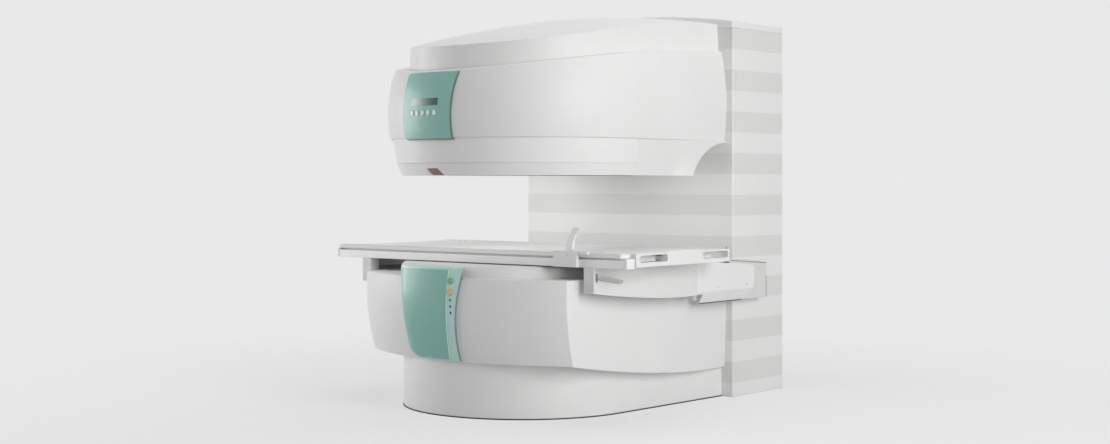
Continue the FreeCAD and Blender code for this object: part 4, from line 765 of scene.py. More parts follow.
@dataclass(frozen=True)
class UpperUnit:
    """Bulge cover, top cover, pole cover and fairing of the upper magnet, in metres."""

    plan: NosePlan = NosePlan()
    radius: float = 0.709
    rear_half: float = 0.684
    set_back: float = 0.034
    widest: float = 0.4
    bottom: float = 1.362
    front_top: float = 1.680
    rear_top: float = 1.843
    top_share: float = 0.69
    levels: int = 16
    edge_search: Place = (0.5, 1.6)
    edge_halvings: int = 30
    ledge: float = 0.140
    foot_ledge: float = 0.045
    band_radius: float = 0.600
    band_rear_half: float = 0.641
    band_lean: float = 0.016
    band_front_top: float = 1.813
    band_rear_top: float = 1.986
    band_share: float = 0.64
    band_steps: int = 4
    lean_rounds: int = 3
    crown: float = 0.062
    seam: float = 0.0005
    roof_columns: int = 40
    face: float = 1.179
    fairing_top_half: float = 0.680
    fairing_foot_half: float = 0.632
    fairing_front: float = -0.030
    fairing_drop: float = 0.008
    sweep_start: float = 0.622
    flat_steps: int = 10
    sweep_steps: int = 24
    fairing_rows: int = 6
    fairing_columns: int = 24
    bulge_edging: Edging = Edging(0.006, 4, wall=0.008)
    band_edging: Edging = Edging(0.016, 6, wall=0.008)
    fairing_edging: Edging = Edging(0.006, 4, 40.0, wall=0.007)
    pole_edging: Edging = Edging(0.003, 3)
    window_edging: Edging = Edging(0.001, 2)

    def build(self, workshop: Workshop) -> None:
        """Build the unit's covers.

        Args:
            workshop: Where finished pieces go.
        """
        workshop.hand_in(self.bulge(), "upper_bulge_cover", self.bulge_edging)
        workshop.hand_in(self.top_cover(), "upper_top_cover", self.band_edging)
        workshop.ease(self.pole_edging, "upper_pole_cover")
        workshop.hand_in(self.fairing(), "arm_fairing", self.fairing_edging)
        workshop.ease(self.window_edging, "laser_window")

    def edge_height(self, y: float) -> float:
        """Height of the bulge's top edge.

        Args:
            y: Where along the side.

        Returns:
            The height.
        """
        middle = (self.plan.back - self.radius) / 2
        height = self.front_top + self.top_share * (self.rear_top - self.front_top)
        return parabola((-self.radius, self.front_top), (middle, height), (self.plan.back, self.rear_top), y)

    def full_height(self, y: float) -> float:
        """Height of the whole barrel, of which a point's share is a part."""
        slope = (self.rear_top - self.front_top) / (self.plan.back + self.radius)
        return self.front_top + slope * (y + self.radius) - self.bottom

    def inset(self, share: float) -> float:
        """How far the barrel draws in at a share of its height."""
        off = (share - self.widest) / (1.0 - self.widest)
        return self.set_back * off * off

    def barrel_point(self, index: int, share: float) -> Point:
        """A point on the barrel.

        Args:
            index: Its place in the plan.
            share: How far up, where 1 is about the top edge.

        Returns:
            The point.
        """
        inset = self.inset(share)
        x, y = self.plan.point(index, self.radius - inset, self.rear_half - inset)
        return (x, y, self.bottom + share * self.full_height(y))

    def edge_share(self, index: int) -> float:
        """How far up the barrel meets its top edge.

        Args:
            index: Place in the plan.

        Returns:
            The share of the barrel's height.
        """
        low, high = self.edge_search
        share = low
        for _ in range(self.edge_halvings):
            share = (low + high) / 2
            _, y, z = self.barrel_point(index, share)
            low, high = (share, high) if z < self.edge_height(y) else (low, share)
        return share

    def bulge(self) -> Piece:
        """The barrel with its ledges.

        Returns:
            The bulge cover.
        """
        draft = Draft()
        rows: list[list[Point]] = [[] for _ in range(self.levels + 3)]
        for i in range(self.plan.count()):
            share = self.edge_share(i)
            for j in range(self.levels + 1):
                rows[j + 1].append(self.barrel_point(i, share * j / self.levels))
            for row, edge, ledge in ((0, rows[1][i], self.foot_ledge), (-1, rows[-2][i], self.ledge)):
                x, y, z = edge
                scale = 1.0 - ledge / self.radius
                inner_y = y * scale if y < 0 else y
                rows[row].append((x * scale, inner_y, z if row == 0 else self.edge_height(inner_y)))
        draft.skin([draft.row(row) for row in rows])
        return draft.object("bulge_cover")

    def fairing(self) -> Piece:
        """Underside of the arm: flat behind the pole, then a quarter of an ellipse up to the column.

        Returns:
            The fairing.
        """
        flat, back = self.sweep_start - self.fairing_front, self.plan.back - self.sweep_start
        stations = [(self.fairing_front + flat * i / self.flat_steps, self.face)
                    for i in range(self.flat_steps)]
        for i in range(self.sweep_steps + 1):
            angle = math.pi / 2 * i / self.sweep_steps
            stations.append((self.sweep_start + back * (1.0 - math.cos(angle)),
                             self.face + (self.bottom - self.fairing_drop - self.face) * math.sin(angle)))
        draft = Draft()
        rows = []
        for y, low in stations:
            side = [low + (self.bottom - low) * i / self.fairing_rows for i in range(self.fairing_rows, -1, -1)]
            left = [(-self.fairing_half(z), y, z) for z in side]
            foot = self.fairing_half(low)
            across = [(foot * (2.0 * i / self.fairing_columns - 1.0), y, low)
                      for i in range(1, self.fairing_columns)]
            rows.append(draft.row(left + across + [(-x, y, z) for x, _, z in reversed(left)]))
        draft.skin(rows)
        return draft.object("fairing_cover")

    def fairing_half(self, height: float) -> float:
        """Half width of the fairing at a height."""
        share = (height - self.face) / (self.bottom - self.face)
        return self.fairing_foot_half + (self.fairing_top_half - self.fairing_foot_half) * share

    def roof_height(self, x: float, y: float) -> float:
        """Height of the cross-arched roof.

        Args:
            x: Place across.
            y: Place along.

        Returns:
            The height.
        """
        front, rear = (-self.band_radius, self.band_front_top), (self.plan.back, self.band_rear_top)
        middle_y = (self.plan.back - self.band_radius) / 2
        middle = self.band_front_top + self.band_share * (self.band_rear_top - self.band_front_top)
        at_middle = parabola(front, (middle_y, middle), rear, 0.0)
        ridge = parabola(front, (0.0, at_middle + self.crown * (self.band_radius / self.band_rear_half) ** 2),
                         (self.plan.back, self.band_rear_top + self.crown), y)
        return ridge - self.crown * (x / self.band_rear_half) ** 2

    def band_point(self, index: int, share: float) -> Point:
        """A point on the band under the roof.

        Args:
            index: Its place in the plan.
            share: How far up, from the seam to the roof's edge.

        Returns:
            The point.
        """
        lean = 0.0
        for _ in range(self.lean_rounds):
            x, y = self.plan.point(index, self.band_radius - lean / 2, self.band_rear_half - lean / 2)
            low, high = self.edge_height(y) + self.seam, self.roof_height(x, y)
            z = low + (high - low) * share
            lean = self.band_lean * (z - self.front_top) / (self.band_front_top - self.front_top)
        return (x, y, z)

    def top_cover(self) -> Piece:
        """The band and the roof.

        Returns:
            The top cover.
        """
        draft = Draft()
        count = self.plan.count()
        rows = [draft.row(self.band_point(i, step / self.band_steps) for i in range(count))
                for step in range(self.band_steps + 1)]
        draft.skin(rows)
        rim = rows[-1]
        strips = []
        for i in range(count // 2 - 1):
            left, right = rim[i], rim[count - 1 - i]
            between = []
            for k in range(1, self.roof_columns):
                x, y = left.co.lerp(right.co, k / self.roof_columns).xy
                between.append((x, y, self.roof_height(x, y)))
            strips.append([left, *draft.row(between), right])
        draft.skin(strips)
        draft.face([*strips[-1], *reversed(rim[count // 2 - 1:count - count // 2 + 1])])
        return draft.object("top_cover")


@dataclass(frozen=True)
class LowerUnit:
    """Drum cover, lower pole cover, plinth and seal, in metres."""

    corner_x: float = 0.681
    corner_y: float = -0.480
    apex_y: float = -0.687
    side_bulge: float = 0.722
    side_bulge_y: float = 0.2996
    rear_half: float = 0.682
    back: float = 0.856
    widest: float = 0.600
    rim_front: float = 0.272
    rim_middle: float = 0.188
    rim_rear: float = 0.160
    rim_level_end: float = -0.440
    rim_end: float = 0.836
    rim_rounds: int = 6
    set_back: float = 0.056
    side_share: float = 0.12
    shoulder: float = 0.681
    well_radius: float = 0.600
    plinth_radius: float = 0.620
    front_steps: int = 64
    side_steps: int = 28
    levels: int = 16
    pole_radius: float = 0.640
    pole_foot: float = 0.04
    pole_edge: float = 0.034
    pole_top: float = 0.738
    pole_rings: tuple[float, ...] = (0.8, 0.4, 0.0)
    edge_steps: int = 10
    pole_steps: int = 180
    seal_height: float = 0.008
    seal_shown: float = 0.0045
    drum_edging: Edging = Edging(0.008, 5, 24.0, wall=0.008)
    pole_edging: Edging = Edging(0.0)
    plinth_edging: Edging = Edging(0.003, 3)
    seal_edging: Edging = Edging(0.0006, 2)

    def build(self, workshop: Workshop) -> None:
        """Build the unit's covers.

        Args:
            workshop: Where finished pieces go.
        """
        workshop.hand_in(self.drum(), "lower_drum_cover", self.drum_edging)
        workshop.hand_in(self.pole_cover(), "lower_pole_cover", self.pole_edging)
        workshop.ease(self.plinth_edging, "plinth_cover", shift=self.lower_foot)
        workshop.ease(self.seal_edging, "plinth_seal", shift=self.lower_foot)

    def lower_foot(self, place: Vector) -> Vector:
        """Bring the line between the plinth and its seal nearer to the floor.

        Args:
            place: A point of either solid.

        Returns:
            The point's new place.
        """
        if place.z > self.seal_height + LEVEL_TOLERANCE:
            return place
        return Vector((place.x, place.y, place.z * self.seal_shown / self.seal_height))

    def rim_height(self, y: float) -> float:
        """Height of the drum's lower rim: level in front, falling along the sides.

        Args:
            y: Where along the side.

        Returns:
            The height.
        """
        if y <= self.rim_level_end:
            return self.rim_front
        middle_y = (self.rim_level_end + self.rim_end) / 2
        return parabola((self.rim_level_end, self.rim_front), (middle_y, self.rim_middle),
                        (self.rim_end, self.rim_rear), min(y, self.rim_end))

    def front_inset(self, height: float) -> float:
        """How far the drum's front draws in at a height."""
        off = (height - self.widest) / (self.widest - self.rim_front)
        return self.set_back * off * off

    def drum_point(self, index: int, height: float) -> Place:
        """A point of the drum's outline at a height.

        Args:
            index: Its number, from the left rear round the front to the right rear.
            height: The level.

        Returns:
            Its X and Y.
        """
        front_back = self.front_inset(height)
        side_in = front_back * self.side_share
        corner = (self.corner_x - side_in, self.corner_y + front_back)
        left = (-corner[0], corner[1])
        last = 2 * self.side_steps + self.front_steps
        if self.side_steps <= index <= last - self.side_steps:
            share = (index - self.side_steps) / self.front_steps
            return arc_point(left, (0.0, self.apex_y + front_back), corner, share)
        share = min(index, last - index) / self.side_steps
        x, y = arc_point((self.rear_half - side_in, self.back),
                         (self.side_bulge - side_in, self.side_bulge_y), corner, share)
        return (-x if index < self.side_steps else x, y)

    def drum(self) -> Piece:
        """The barrel of the lower unit with its deck and its turned-in rim.

        Returns:
            The drum cover.
        """
        draft = Draft()
        rows: list[list[Point]] = [[] for _ in range(self.levels + 3)]
        for i in range(2 * self.side_steps + self.front_steps + 1):
            low = self.rim_front
            for _ in range(self.rim_rounds):
                low = self.rim_height(self.drum_point(i, low)[1])
            for j in range(self.levels + 1):
                height = low + (self.shoulder - low) * j / self.levels
                rows[j + 1].append((*self.drum_point(i, height), height))
            rows[0].append(self.inner_foot(rows[1][i]))
            rows[-1].append(at_radius(rows[-2][i], self.well_radius))
        draft.skin([draft.row(row) for row in rows])
        draft.skin([draft.row(row) for row in self.rear_deck(rows[-2][-1], rows[-1][-1])])
        return draft.object("drum_cover")

    def rear_deck(self, corner: Point, foot: Point) -> list[list[Point]]:
        """The deck's rows behind the pole, from the right rear corner to the left one.

        Args:
            corner: The deck's right rear corner.
            foot: The point of the well's edge next to it.

        Returns:
            A row along the column and a row along the well.
        """
        start = math.atan2(foot[1], foot[0])
        shares = [i / self.side_steps for i in range(self.side_steps + 1)]
        along = [(corner[0] * (1.0 - 2.0 * share), corner[1], corner[2]) for share in shares]
        return [along, [ring_point(self.well_radius, start + (math.pi - 2.0 * start) * share, foot[2])
                        for share in shares]]

    def inner_foot(self, outer: Point) -> Point:
        """Where the turned-in rim meets the plinth, next to a point of the rim."""
        straight = (math.copysign(self.plinth_radius, outer[0]), outer[1], outer[2])
        return straight if outer[1] > 0.0 else at_radius(outer, self.plinth_radius)

    def pole_cover(self) -> Piece:
        """The round dish of the lower magnet, turned on the pole's axis.

        Returns:
            The lower pole cover.
        """
        middle = self.pole_radius - self.pole_edge
        profile = [(self.pole_radius - self.pole_foot, self.shoulder), (self.pole_radius, self.shoulder)]
        for i in range(self.edge_steps + 1):
            angle = math.pi / 2 * i / self.edge_steps
            profile.append((middle + self.pole_edge * math.cos(angle),
                            self.pole_top - self.pole_edge + self.pole_edge * math.sin(angle)))
        profile += [(middle * share, self.pole_top) for share in self.pole_rings]
        draft = Draft()
        angles = [math.tau * i / self.pole_steps for i in range(self.pole_steps)]
        draft.skin([draft.row(ring_point(radius, angle, height) for angle in angles)
                    for radius, height in profile], ring=True)
        return draft.object("pole_cover")


@dataclass(frozen=True)
class ColumnUnit:
    """Banded covers of the column, in metres."""

    edging: Edging = Edging(0.004, 4)
    guide_edging: Edging = Edging(0.003, 3)

    def build(self, workshop: Workshop) -> None:
        """Ease the column's covers and the guide boxes on its sides.

        Args:
            workshop: Where finished pieces go.
        """
        workshop.ease(self.edging, "column_front_cover", "column_rear_cover", "column_side_covers",
                      "column_top_cap")
        workshop.ease(self.guide_edging, "guide_boxes")


@dataclass(frozen=True)
class PanelOutline:
    """Front view of a curved panel: a bowed edge on each side, as (height, x) points, and rounded left corners."""

    left: tuple[Place, Place, Place]
    right: tuple[Place, Place, Place]
    bottom: float
    top: float
    foot_corner: float = 0.0
    head_corner: float = 0.0

    def grown(self, by: float) -> "PanelOutline":
        """The same outline with its sides and its bottom moved outwards.

        Args:
            by: How far.

        Returns:
            The new outline.
        """
        left = tuple((height, x - by) for height, x in self.left)
        right = tuple((height, x + by) for height, x in self.right)
        return PanelOutline(left, right, self.bottom - by, self.top, self.foot_corner + by, self.head_corner)

    def heights(self, steps: int) -> list[float]:
        """Levels of the rows, closer together at the rounded corners.

        Args:
            steps: How many gaps between rows.

        Returns:
            The levels from the bottom up.
        """
        middle = (self.bottom + self.top) / 2
        half = (self.top - self.bottom) / 2
        return [middle - half * math.cos(math.pi * i / steps) for i in range(steps + 1)]

    def edges(self, height: float) -> Place:
        """X of both edges at a height.

        Args:
            height: The level.

        Returns:
            The left and the right edge.
        """
        left = parabola(*self.left, height)
        for corner, off in ((self.foot_corner, height - self.bottom), (self.head_corner, self.top - height)):
            if 0.0 <= off < corner:
                left += corner - math.sqrt(corner * corner - (corner - off) ** 2)
        return (left, parabola(*self.right, height))


@dataclass(frozen=True)
class Plate:
    """A curved plate: front view, how far its face and its back are in front of the cover, and its rolled side."""

    outline: PanelOutline
    face: float
    back: float
    roll: float = 0.0
    rolled_edge: float = 0.0015

    def face_at(self, from_left: float) -> float:
        """How far the face stands in front of the cover.

        Args:
            from_left: Distance from the left edge.

        Returns:
            The distance, which falls off over the rolled side.
        """
        if from_left >= self.roll:
            return self.face
        return max(self.face * math.sqrt(1.0 - (1.0 - from_left / self.roll) ** 2), self.rolled_edge)


@dataclass(frozen=True)
class ControlPanels:
    """The two teal panels with their window, keys, buttons and lenses, in metres."""

    bulge: UpperUnit = UpperUnit()
    drum: LowerUnit = LowerUnit()
    upper: Plate = Plate(PanelOutline(
        ((1.357, -0.199), (1.500, -0.201), (1.681, -0.181)), ((1.357, 0.131), (1.470, 0.132), (1.681, 0.154)),
        1.357, 1.6815, 0.026, 0.016), 0.007, -0.012)
    window: Plate = Plate(PanelOutline(
        ((1.518, -0.126), (1.536, -0.126), (1.554, -0.126)), ((1.518, 0.062), (1.536, 0.062), (1.554, 0.062)),
        1.518, 1.554), 0.0073, 0.004)
    lower: Plate = Plate(PanelOutline(
        ((0.300, -0.206), (0.520, -0.227), (0.730, -0.238)), ((0.280, 0.140), (0.480, 0.147), (0.730, 0.199)),
        0.277, 0.731, 0.055), 0.012, -0.012, 0.075)
    insert: Plate = Plate(PanelOutline(
        ((0.300, -0.203), (0.520, -0.224), (0.730, -0.235)), ((0.306, 0.084), (0.552, 0.103), (0.721, 0.113)),
        0.283, 0.721, 0.051), 0.0155, 0.0, 0.075)
    # Sizes of the dark rim round the upper panel, which is painted shade of the gap round it.
    trim_width: float = 0.006
    trim_face: float = 0.0035
    trim_back: float = -0.004
    lid_slant: float = 0.060
    lid_step: float = 0.001
    inside_cover: float = -0.005
    inside_pole: float = 0.020
    bulge_rounds: int = 4
    columns: int = 44
    rows: int = 48
    key_first: float = -0.114
    key_pitch: float = 0.0385
    key_level: float = 1.483
    key_opening: Place = (0.0108, 0.0138)
    key_depth: float = 0.02
    button_x: float = 0.126
    button_levels: Place = (0.668, 0.615)
    button_opening: float = 0.016
    button_depth: float = 0.011
    post_length: float = 0.05
    post_sides: int = 40
    trim_edging: Edging = Edging(0.0006, 2, 35.0)
    panel_edging: Edging = Edging(0.0015, 3, 35.0)
    key_edging: Edging = Edging(0.0025, 4)
    button_edging: Edging = Edging(0.004, 5)

    def build(self, workshop: Workshop) -> None:
        """Build both panels and ease everything in them.

        Args:
            workshop: Where finished pieces go.
        """
        # A dark rim round the upper panel and dark walls on the plates paint the shade in the gaps round them; the
        # inlay's pale walls paint a highlight.
        shade_rim_plate = Plate(self.upper.outline.grown(self.trim_width), self.trim_face, self.trim_back)
        shade_rim = self.panel("upper_panel_trim", shade_rim_plate, self.on_bulge, self.key_cutter)
        self.dress(shade_rim, Finishes.PANEL_EDGE, Finishes.PANEL_EDGE)
        self.trim_edging.apply(shade_rim)
        workshop.carry(shade_rim, "upper_control_panel")
        for name, plate, surface, cutter, node, wall in (
                ("upper_panel", self.upper, self.on_bulge, self.key_cutter, "upper_control_panel",
                 Finishes.PANEL_EDGE),
                ("display_pane", self.window, self.on_bulge, None, "display_window", Finishes.PANEL_EDGE),
                ("lower_panel", self.lower, self.on_drum, self.button_cutter, "lower_control_panel",
                 Finishes.PANEL_EDGE),
                ("panel_inlay", self.insert, self.on_drum, None, "lower_panel_insert", Finishes.INSERT_EDGE)):
            piece = self.panel(name, plate, surface, cutter)
            self.dress(piece, NODE_FINISH[node], wall)
            workshop.hand_in(piece, node, self.panel_edging)
        workshop.ease(self.key_edging, *KEYS)
        workshop.ease(self.button_edging, "start_button", "stop_button")

    @staticmethod
    def dress(piece: Piece, face: Finish, wall: Finish) -> None:
        """Give a panel the finishes of its face and of its walls."""
        for finish in (face, wall):
            piece.data.materials.append(finish.material())

    def on_bulge(self, x: float, z: float, out: float) -> float:
        """Y of the upper bulge's front.

        Args:
            x: Place along the front.
            z: Height.
            out: How far in front of the cover.

        Returns:
            The Y.
        """
        unit = self.bulge
        y = -unit.radius
        for _ in range(self.bulge_rounds):
            share = (z - unit.bottom) / unit.full_height(y)
            radius = unit.radius - unit.inset(share) + out
            y = -math.sqrt(radius * radius - x * x)
        return y

    def on_drum(self, x: float, z: float, out: float) -> float:
        """Y of the lower drum's front, carried on upwards past its shoulder.

        Args:
            x: Place along the front.
            z: Height.
            out: How far in front of the cover. Above the shoulder a place inside it is inside the pole cover.

        Returns:
            The Y.
        """
        unit = self.drum
        if out < self.inside_cover and z > unit.shoulder + LEVEL_TOLERANCE:
            return -math.sqrt((unit.pole_radius - self.inside_pole) ** 2 - x * x)
        rise = unit.corner_y - unit.apex_y
        radius = (unit.corner_x ** 2 + rise ** 2) / (2.0 * rise)
        return unit.apex_y + radius - math.sqrt(radius ** 2 - x * x) + unit.front_inset(z) - out

    def panel(self, name: str, plate: Plate, surface: Callable[[float, float, float], float],
              cutter: Callable[[], Piece] | None) -> Piece:
        """A closed curved plate with its openings. Its walls get the second material.

        Args:
            name: Name of the piece.
            plate: Its sizes.
            surface: Y of the cover below it.
            cutter: Makes the piece that cuts its openings.

        Returns:
            The plate.
        """
        draft = Draft()
        faces, backs = [], []
        for z in self.levels(plate):
            face, back = self.level_points(plate, z, surface)
            faces.append(draft.row(face))
            backs.append(draft.row(back))
        draft.skin(faces)
        draft.skin(backs)
        before = len(draft.mesh.faces)
        rims = [[row[0] for row in rows] + rows[-1][1:] + [row[-1] for row in rows[-2::-1]] + rows[0][-2::-1]
                for rows in (faces, backs)]
        ring = list(zip(*rims))
        for (a, b), (c, d) in zip(ring, ring[1:]):
            draft.face((a, b, d, c))
        draft.mesh.faces.ensure_lookup_table()
        # Walls take the second material: painted shade on the panels and the display, a painted highlight on the
        # inlay; the lower panel's lid keeps the face's colour.
        for wall in draft.mesh.faces[before:]:
            lowest = min(vert.co.z for vert in wall.verts)
            is_lid = plate.roll and lowest > plate.outline.top - LEVEL_TOLERANCE
            wall.material_index = 0 if is_lid else 1
        piece = draft.object(name)
        if cutter is not None:
            self.pierce(piece, cutter())
        return piece

    def levels(self, plate: Plate) -> list[float]:
        """Levels of a plate's rows, with the drum's shoulder among them where the plate passes it.

        Args:
            plate: The plate.

        Returns:
            The levels from the bottom up.
        """
        levels = plate.outline.heights(self.rows)
        for edge in (self.drum.shoulder, self.drum.shoulder + self.lid_step):
            if plate.roll and plate.outline.bottom < edge < plate.outline.top:
                levels = sorted([*levels, edge])
        return levels

    def level_points(self, plate: Plate, z: float,
                     surface: Callable[[float, float, float], float]) -> tuple[list[Point], list[Point]]:
        """Points of a plate's face and of its back at a level.

        Args:
            plate: The plate.
            z: The level.
            surface: Y of the cover below it.

        Returns:
            The face's points and the back's, from the left.
        """
        left, right = plate.outline.edges(z)
        slanted = plate.roll and plate.back < 0.0 and z > self.drum.shoulder + LEVEL_TOLERANCE
        face, back = [], []
        for i in range(self.columns + 1):
            x = left + (right - left) * (1.0 - math.cos(math.pi * i / self.columns)) / 2
            slant = self.lid_slant * (2.0 * (x - left) / (right - left) - 1.0) if slanted else 0.0
            face.append((x, surface(x, z, plate.face_at(x - left)), z))
            back.append((x - slant, surface(x - slant, z, plate.back), z))
        return face, back

    def key_cutter(self) -> Piece:
        """Oval posts where the keys come through.

        Returns:
            The cutting piece.
        """
        draft = Draft()
        for i in range(len(KEYS)):
            angle = math.asin((self.key_first + self.key_pitch * i) / self.bulge.radius)
            outward = Vector((math.sin(angle), -math.cos(angle), 0.0))
            foot = outward * (self.bulge.radius - self.key_depth) + Vector((0.0, 0.0, self.key_level))
            self.post(draft, foot, outward, self.key_opening)
        return draft.object("key_cutter")

    def button_cutter(self) -> Piece:
        """Round posts where the buttons come through.

        Returns:
            The cutting piece.
        """
        draft = Draft()
        for level in self.button_levels:
            foot = Vector((self.button_x, self.on_drum(self.button_x, level, 0.0) + self.button_depth, level))
            self.post(draft, foot, Vector((0.0, -1.0, 0.0)), (self.button_opening, self.button_opening))
        return draft.object("button_cutter")

    def post(self, draft: Draft, foot: Vector, along: Vector, radii: Place) -> None:
        """Add a closed oval post.

        Args:
            draft: The mesh that it goes into.
            foot: Middle of its start.
            along: Its direction, level.
            radii: Half width and half height.
        """
        up = Vector((0.0, 0.0, 1.0))
        across = up.cross(along)
        angles = [math.tau * i / self.post_sides for i in range(self.post_sides)]
        draft.post([[start + across * (radii[0] * math.cos(angle)) + up * (radii[1] * math.sin(angle))
                     for angle in angles] for start in (foot, foot + along * self.post_length)])

    @staticmethod
    def pierce(piece: Piece, cutter: Piece) -> None:
        """Cut openings through a plate and clear the cutting piece away.

        Args:
            piece: The plate.
            cutter: The cutting piece.
        """
        cut = piece.modifiers.new("openings", "BOOLEAN")
        cut.operation = "DIFFERENCE"
        cut.solver = "EXACT"
        cut.object = cutter
        Edging.settle(piece)
        bpy.data.objects.remove(cutter)


@dataclass(frozen=True)
class PatientTable:
    """Tabletop, carriage and clamp of the table, in metres and degrees."""

    board_edging: Edging = Edging(0.002, 3)
    rail_edging: Edging = Edging(0.0015, 2)
    cover_edging: Edging = Edging(0.003, 3)
    small_edging: Edging = Edging(0.001, 2)
    lever_edging: Edging = Edging(0.005, 4)
    handle_edging: Edging = Edging(0.003, 3)
    clamp_top: float = 0.8185
    lever_left: float = 0.628
    lever_lean: float = 0.052
    lever_rise: float = 0.115
    lever_bend: float = 1.5
    lever_growth: float = 0.65
    lever_run_in: float = 0.012
    handle_start: Place = (-0.391, 0.694)
    handle_tilt: float = 8.5
    handle_growth: float = 0.7
    handle_run_in: float = 0.02

    def build(self, workshop: Workshop) -> None:
        """Ease the table's pieces.

        Args:
            workshop: Where finished pieces go.
        """
        workshop.ease(self.board_edging, "tabletop_board", "end_moulding", "end_plate")
        workshop.ease(self.rail_edging, "front_rail", "rear_rail", "cross_beams", "rail_end_caps", "rail_strips")
        workshop.ease(self.cover_edging, "side_cover_right", "side_cover_left", "rear_housings")
        workshop.ease(self.small_edging, "end_knob", "clamp_block", "clamp_tab", "clamp_tongue", "clamp_pin")
        workshop.ease(self.lever_edging, "clamp_lever", shift=self.widen_lever)
        workshop.ease(self.handle_edging, "release_lever", shift=self.thicken_handle)

    def widen_lever(self, place: Vector) -> Vector:
        """Broaden the clamp lever's blade to the right above its block.

        Args:
            place: A point of the solid.

        Returns:
            The point's new place.
        """
        rise = place.z - self.clamp_top
        if rise <= 0.0:
            return place
        left = self.lever_left + self.lever_lean * (rise / self.lever_rise) ** self.lever_bend
        share = min(rise / self.lever_run_in, 1.0)
        return Vector((place.x + max(place.x - left, 0.0) * self.lever_growth * share, place.y, place.z))

    def thicken_handle(self, place: Vector) -> Vector:
        """Thicken the release lever about its middle line.

        Args:
            place: A point of the solid.

        Returns:
            The point's new place.
        """
        along = place.y - self.handle_start[0]
        middle = self.handle_start[1] - along * math.tan(math.radians(self.handle_tilt))
        grow = 1.0 + self.handle_growth * min(max(along, 0.0) / self.handle_run_in, 1.0)
        return Vector((place.x, place.y, middle + (place.z - middle) * grow))


@dataclass(frozen=True)
class Bar:
    """A straight bar along Y: its distances from the middle, its ends, its top at either end, and its height."""

    across: Place
    along: Place
    tops: Place
    height: float

    def lay(self, draft: Draft, side: Side) -> None:
        """Add the bar on a side.

        Args:
            draft: Where it goes.
            side: The side.
        """
        inner, outer = self.across[0] * side.value, self.across[1] * side.value
        draft.post([[(inner, y, top - self.height), (outer, y, top - self.height), (outer, y, top),
                     (inner, y, top)] for y, top in zip(self.along, self.tops)])


@dataclass(frozen=True)
class GapShadowsAndGripBacks:
    """Dark lines of painted shadow in the gaps at the guide boxes and rear housings, and the pale backs of the hand
    grips, in metres.
    """

    guides: tuple[Bar, ...] = (Bar((0.7865, 0.7905), (0.735, 1.078), (0.7369, 0.7105), 0.0032),
                               Bar((0.7865, 0.7905), (1.0765, 1.0795), (0.642, 0.642), 0.117))
    housings: tuple[Bar, ...] = (Bar((0.7912, 0.7935), (0.442, 0.830), (0.5276, 0.5276), 0.0048),)
    grips: tuple[Bar, ...] = (Bar((0.9162, 0.9168), (-0.2978, -0.1002), (0.8025, 0.8025), 0.034),
                              Bar((0.9162, 0.9168), (0.2132, 0.3700), (0.8025, 0.8025), 0.034))

    def build(self, workshop: Workshop) -> None:
        """Lay the bars.

        Args:
            workshop: Where finished pieces go.
        """
        # The guide and housing bars are painted shadow lines in the gaps.
        for name, node, finish, sides, bars in (
                ("guide_seams", "guide_boxes", Finishes.SEAM, Side, self.guides),
                ("housing_seams", "rear_housings", Finishes.SEAM, Side, self.housings),
                ("grip_backs", "end_moulding", Finishes.TABLE, (Side.RIGHT,), self.grips)):
            draft = Draft()
            for side in sides:
                for bar in bars:
                    bar.lay(draft, side)
            piece = draft.object(name)
            piece.data.materials.append(finish.material())
            workshop.carry(piece, node)


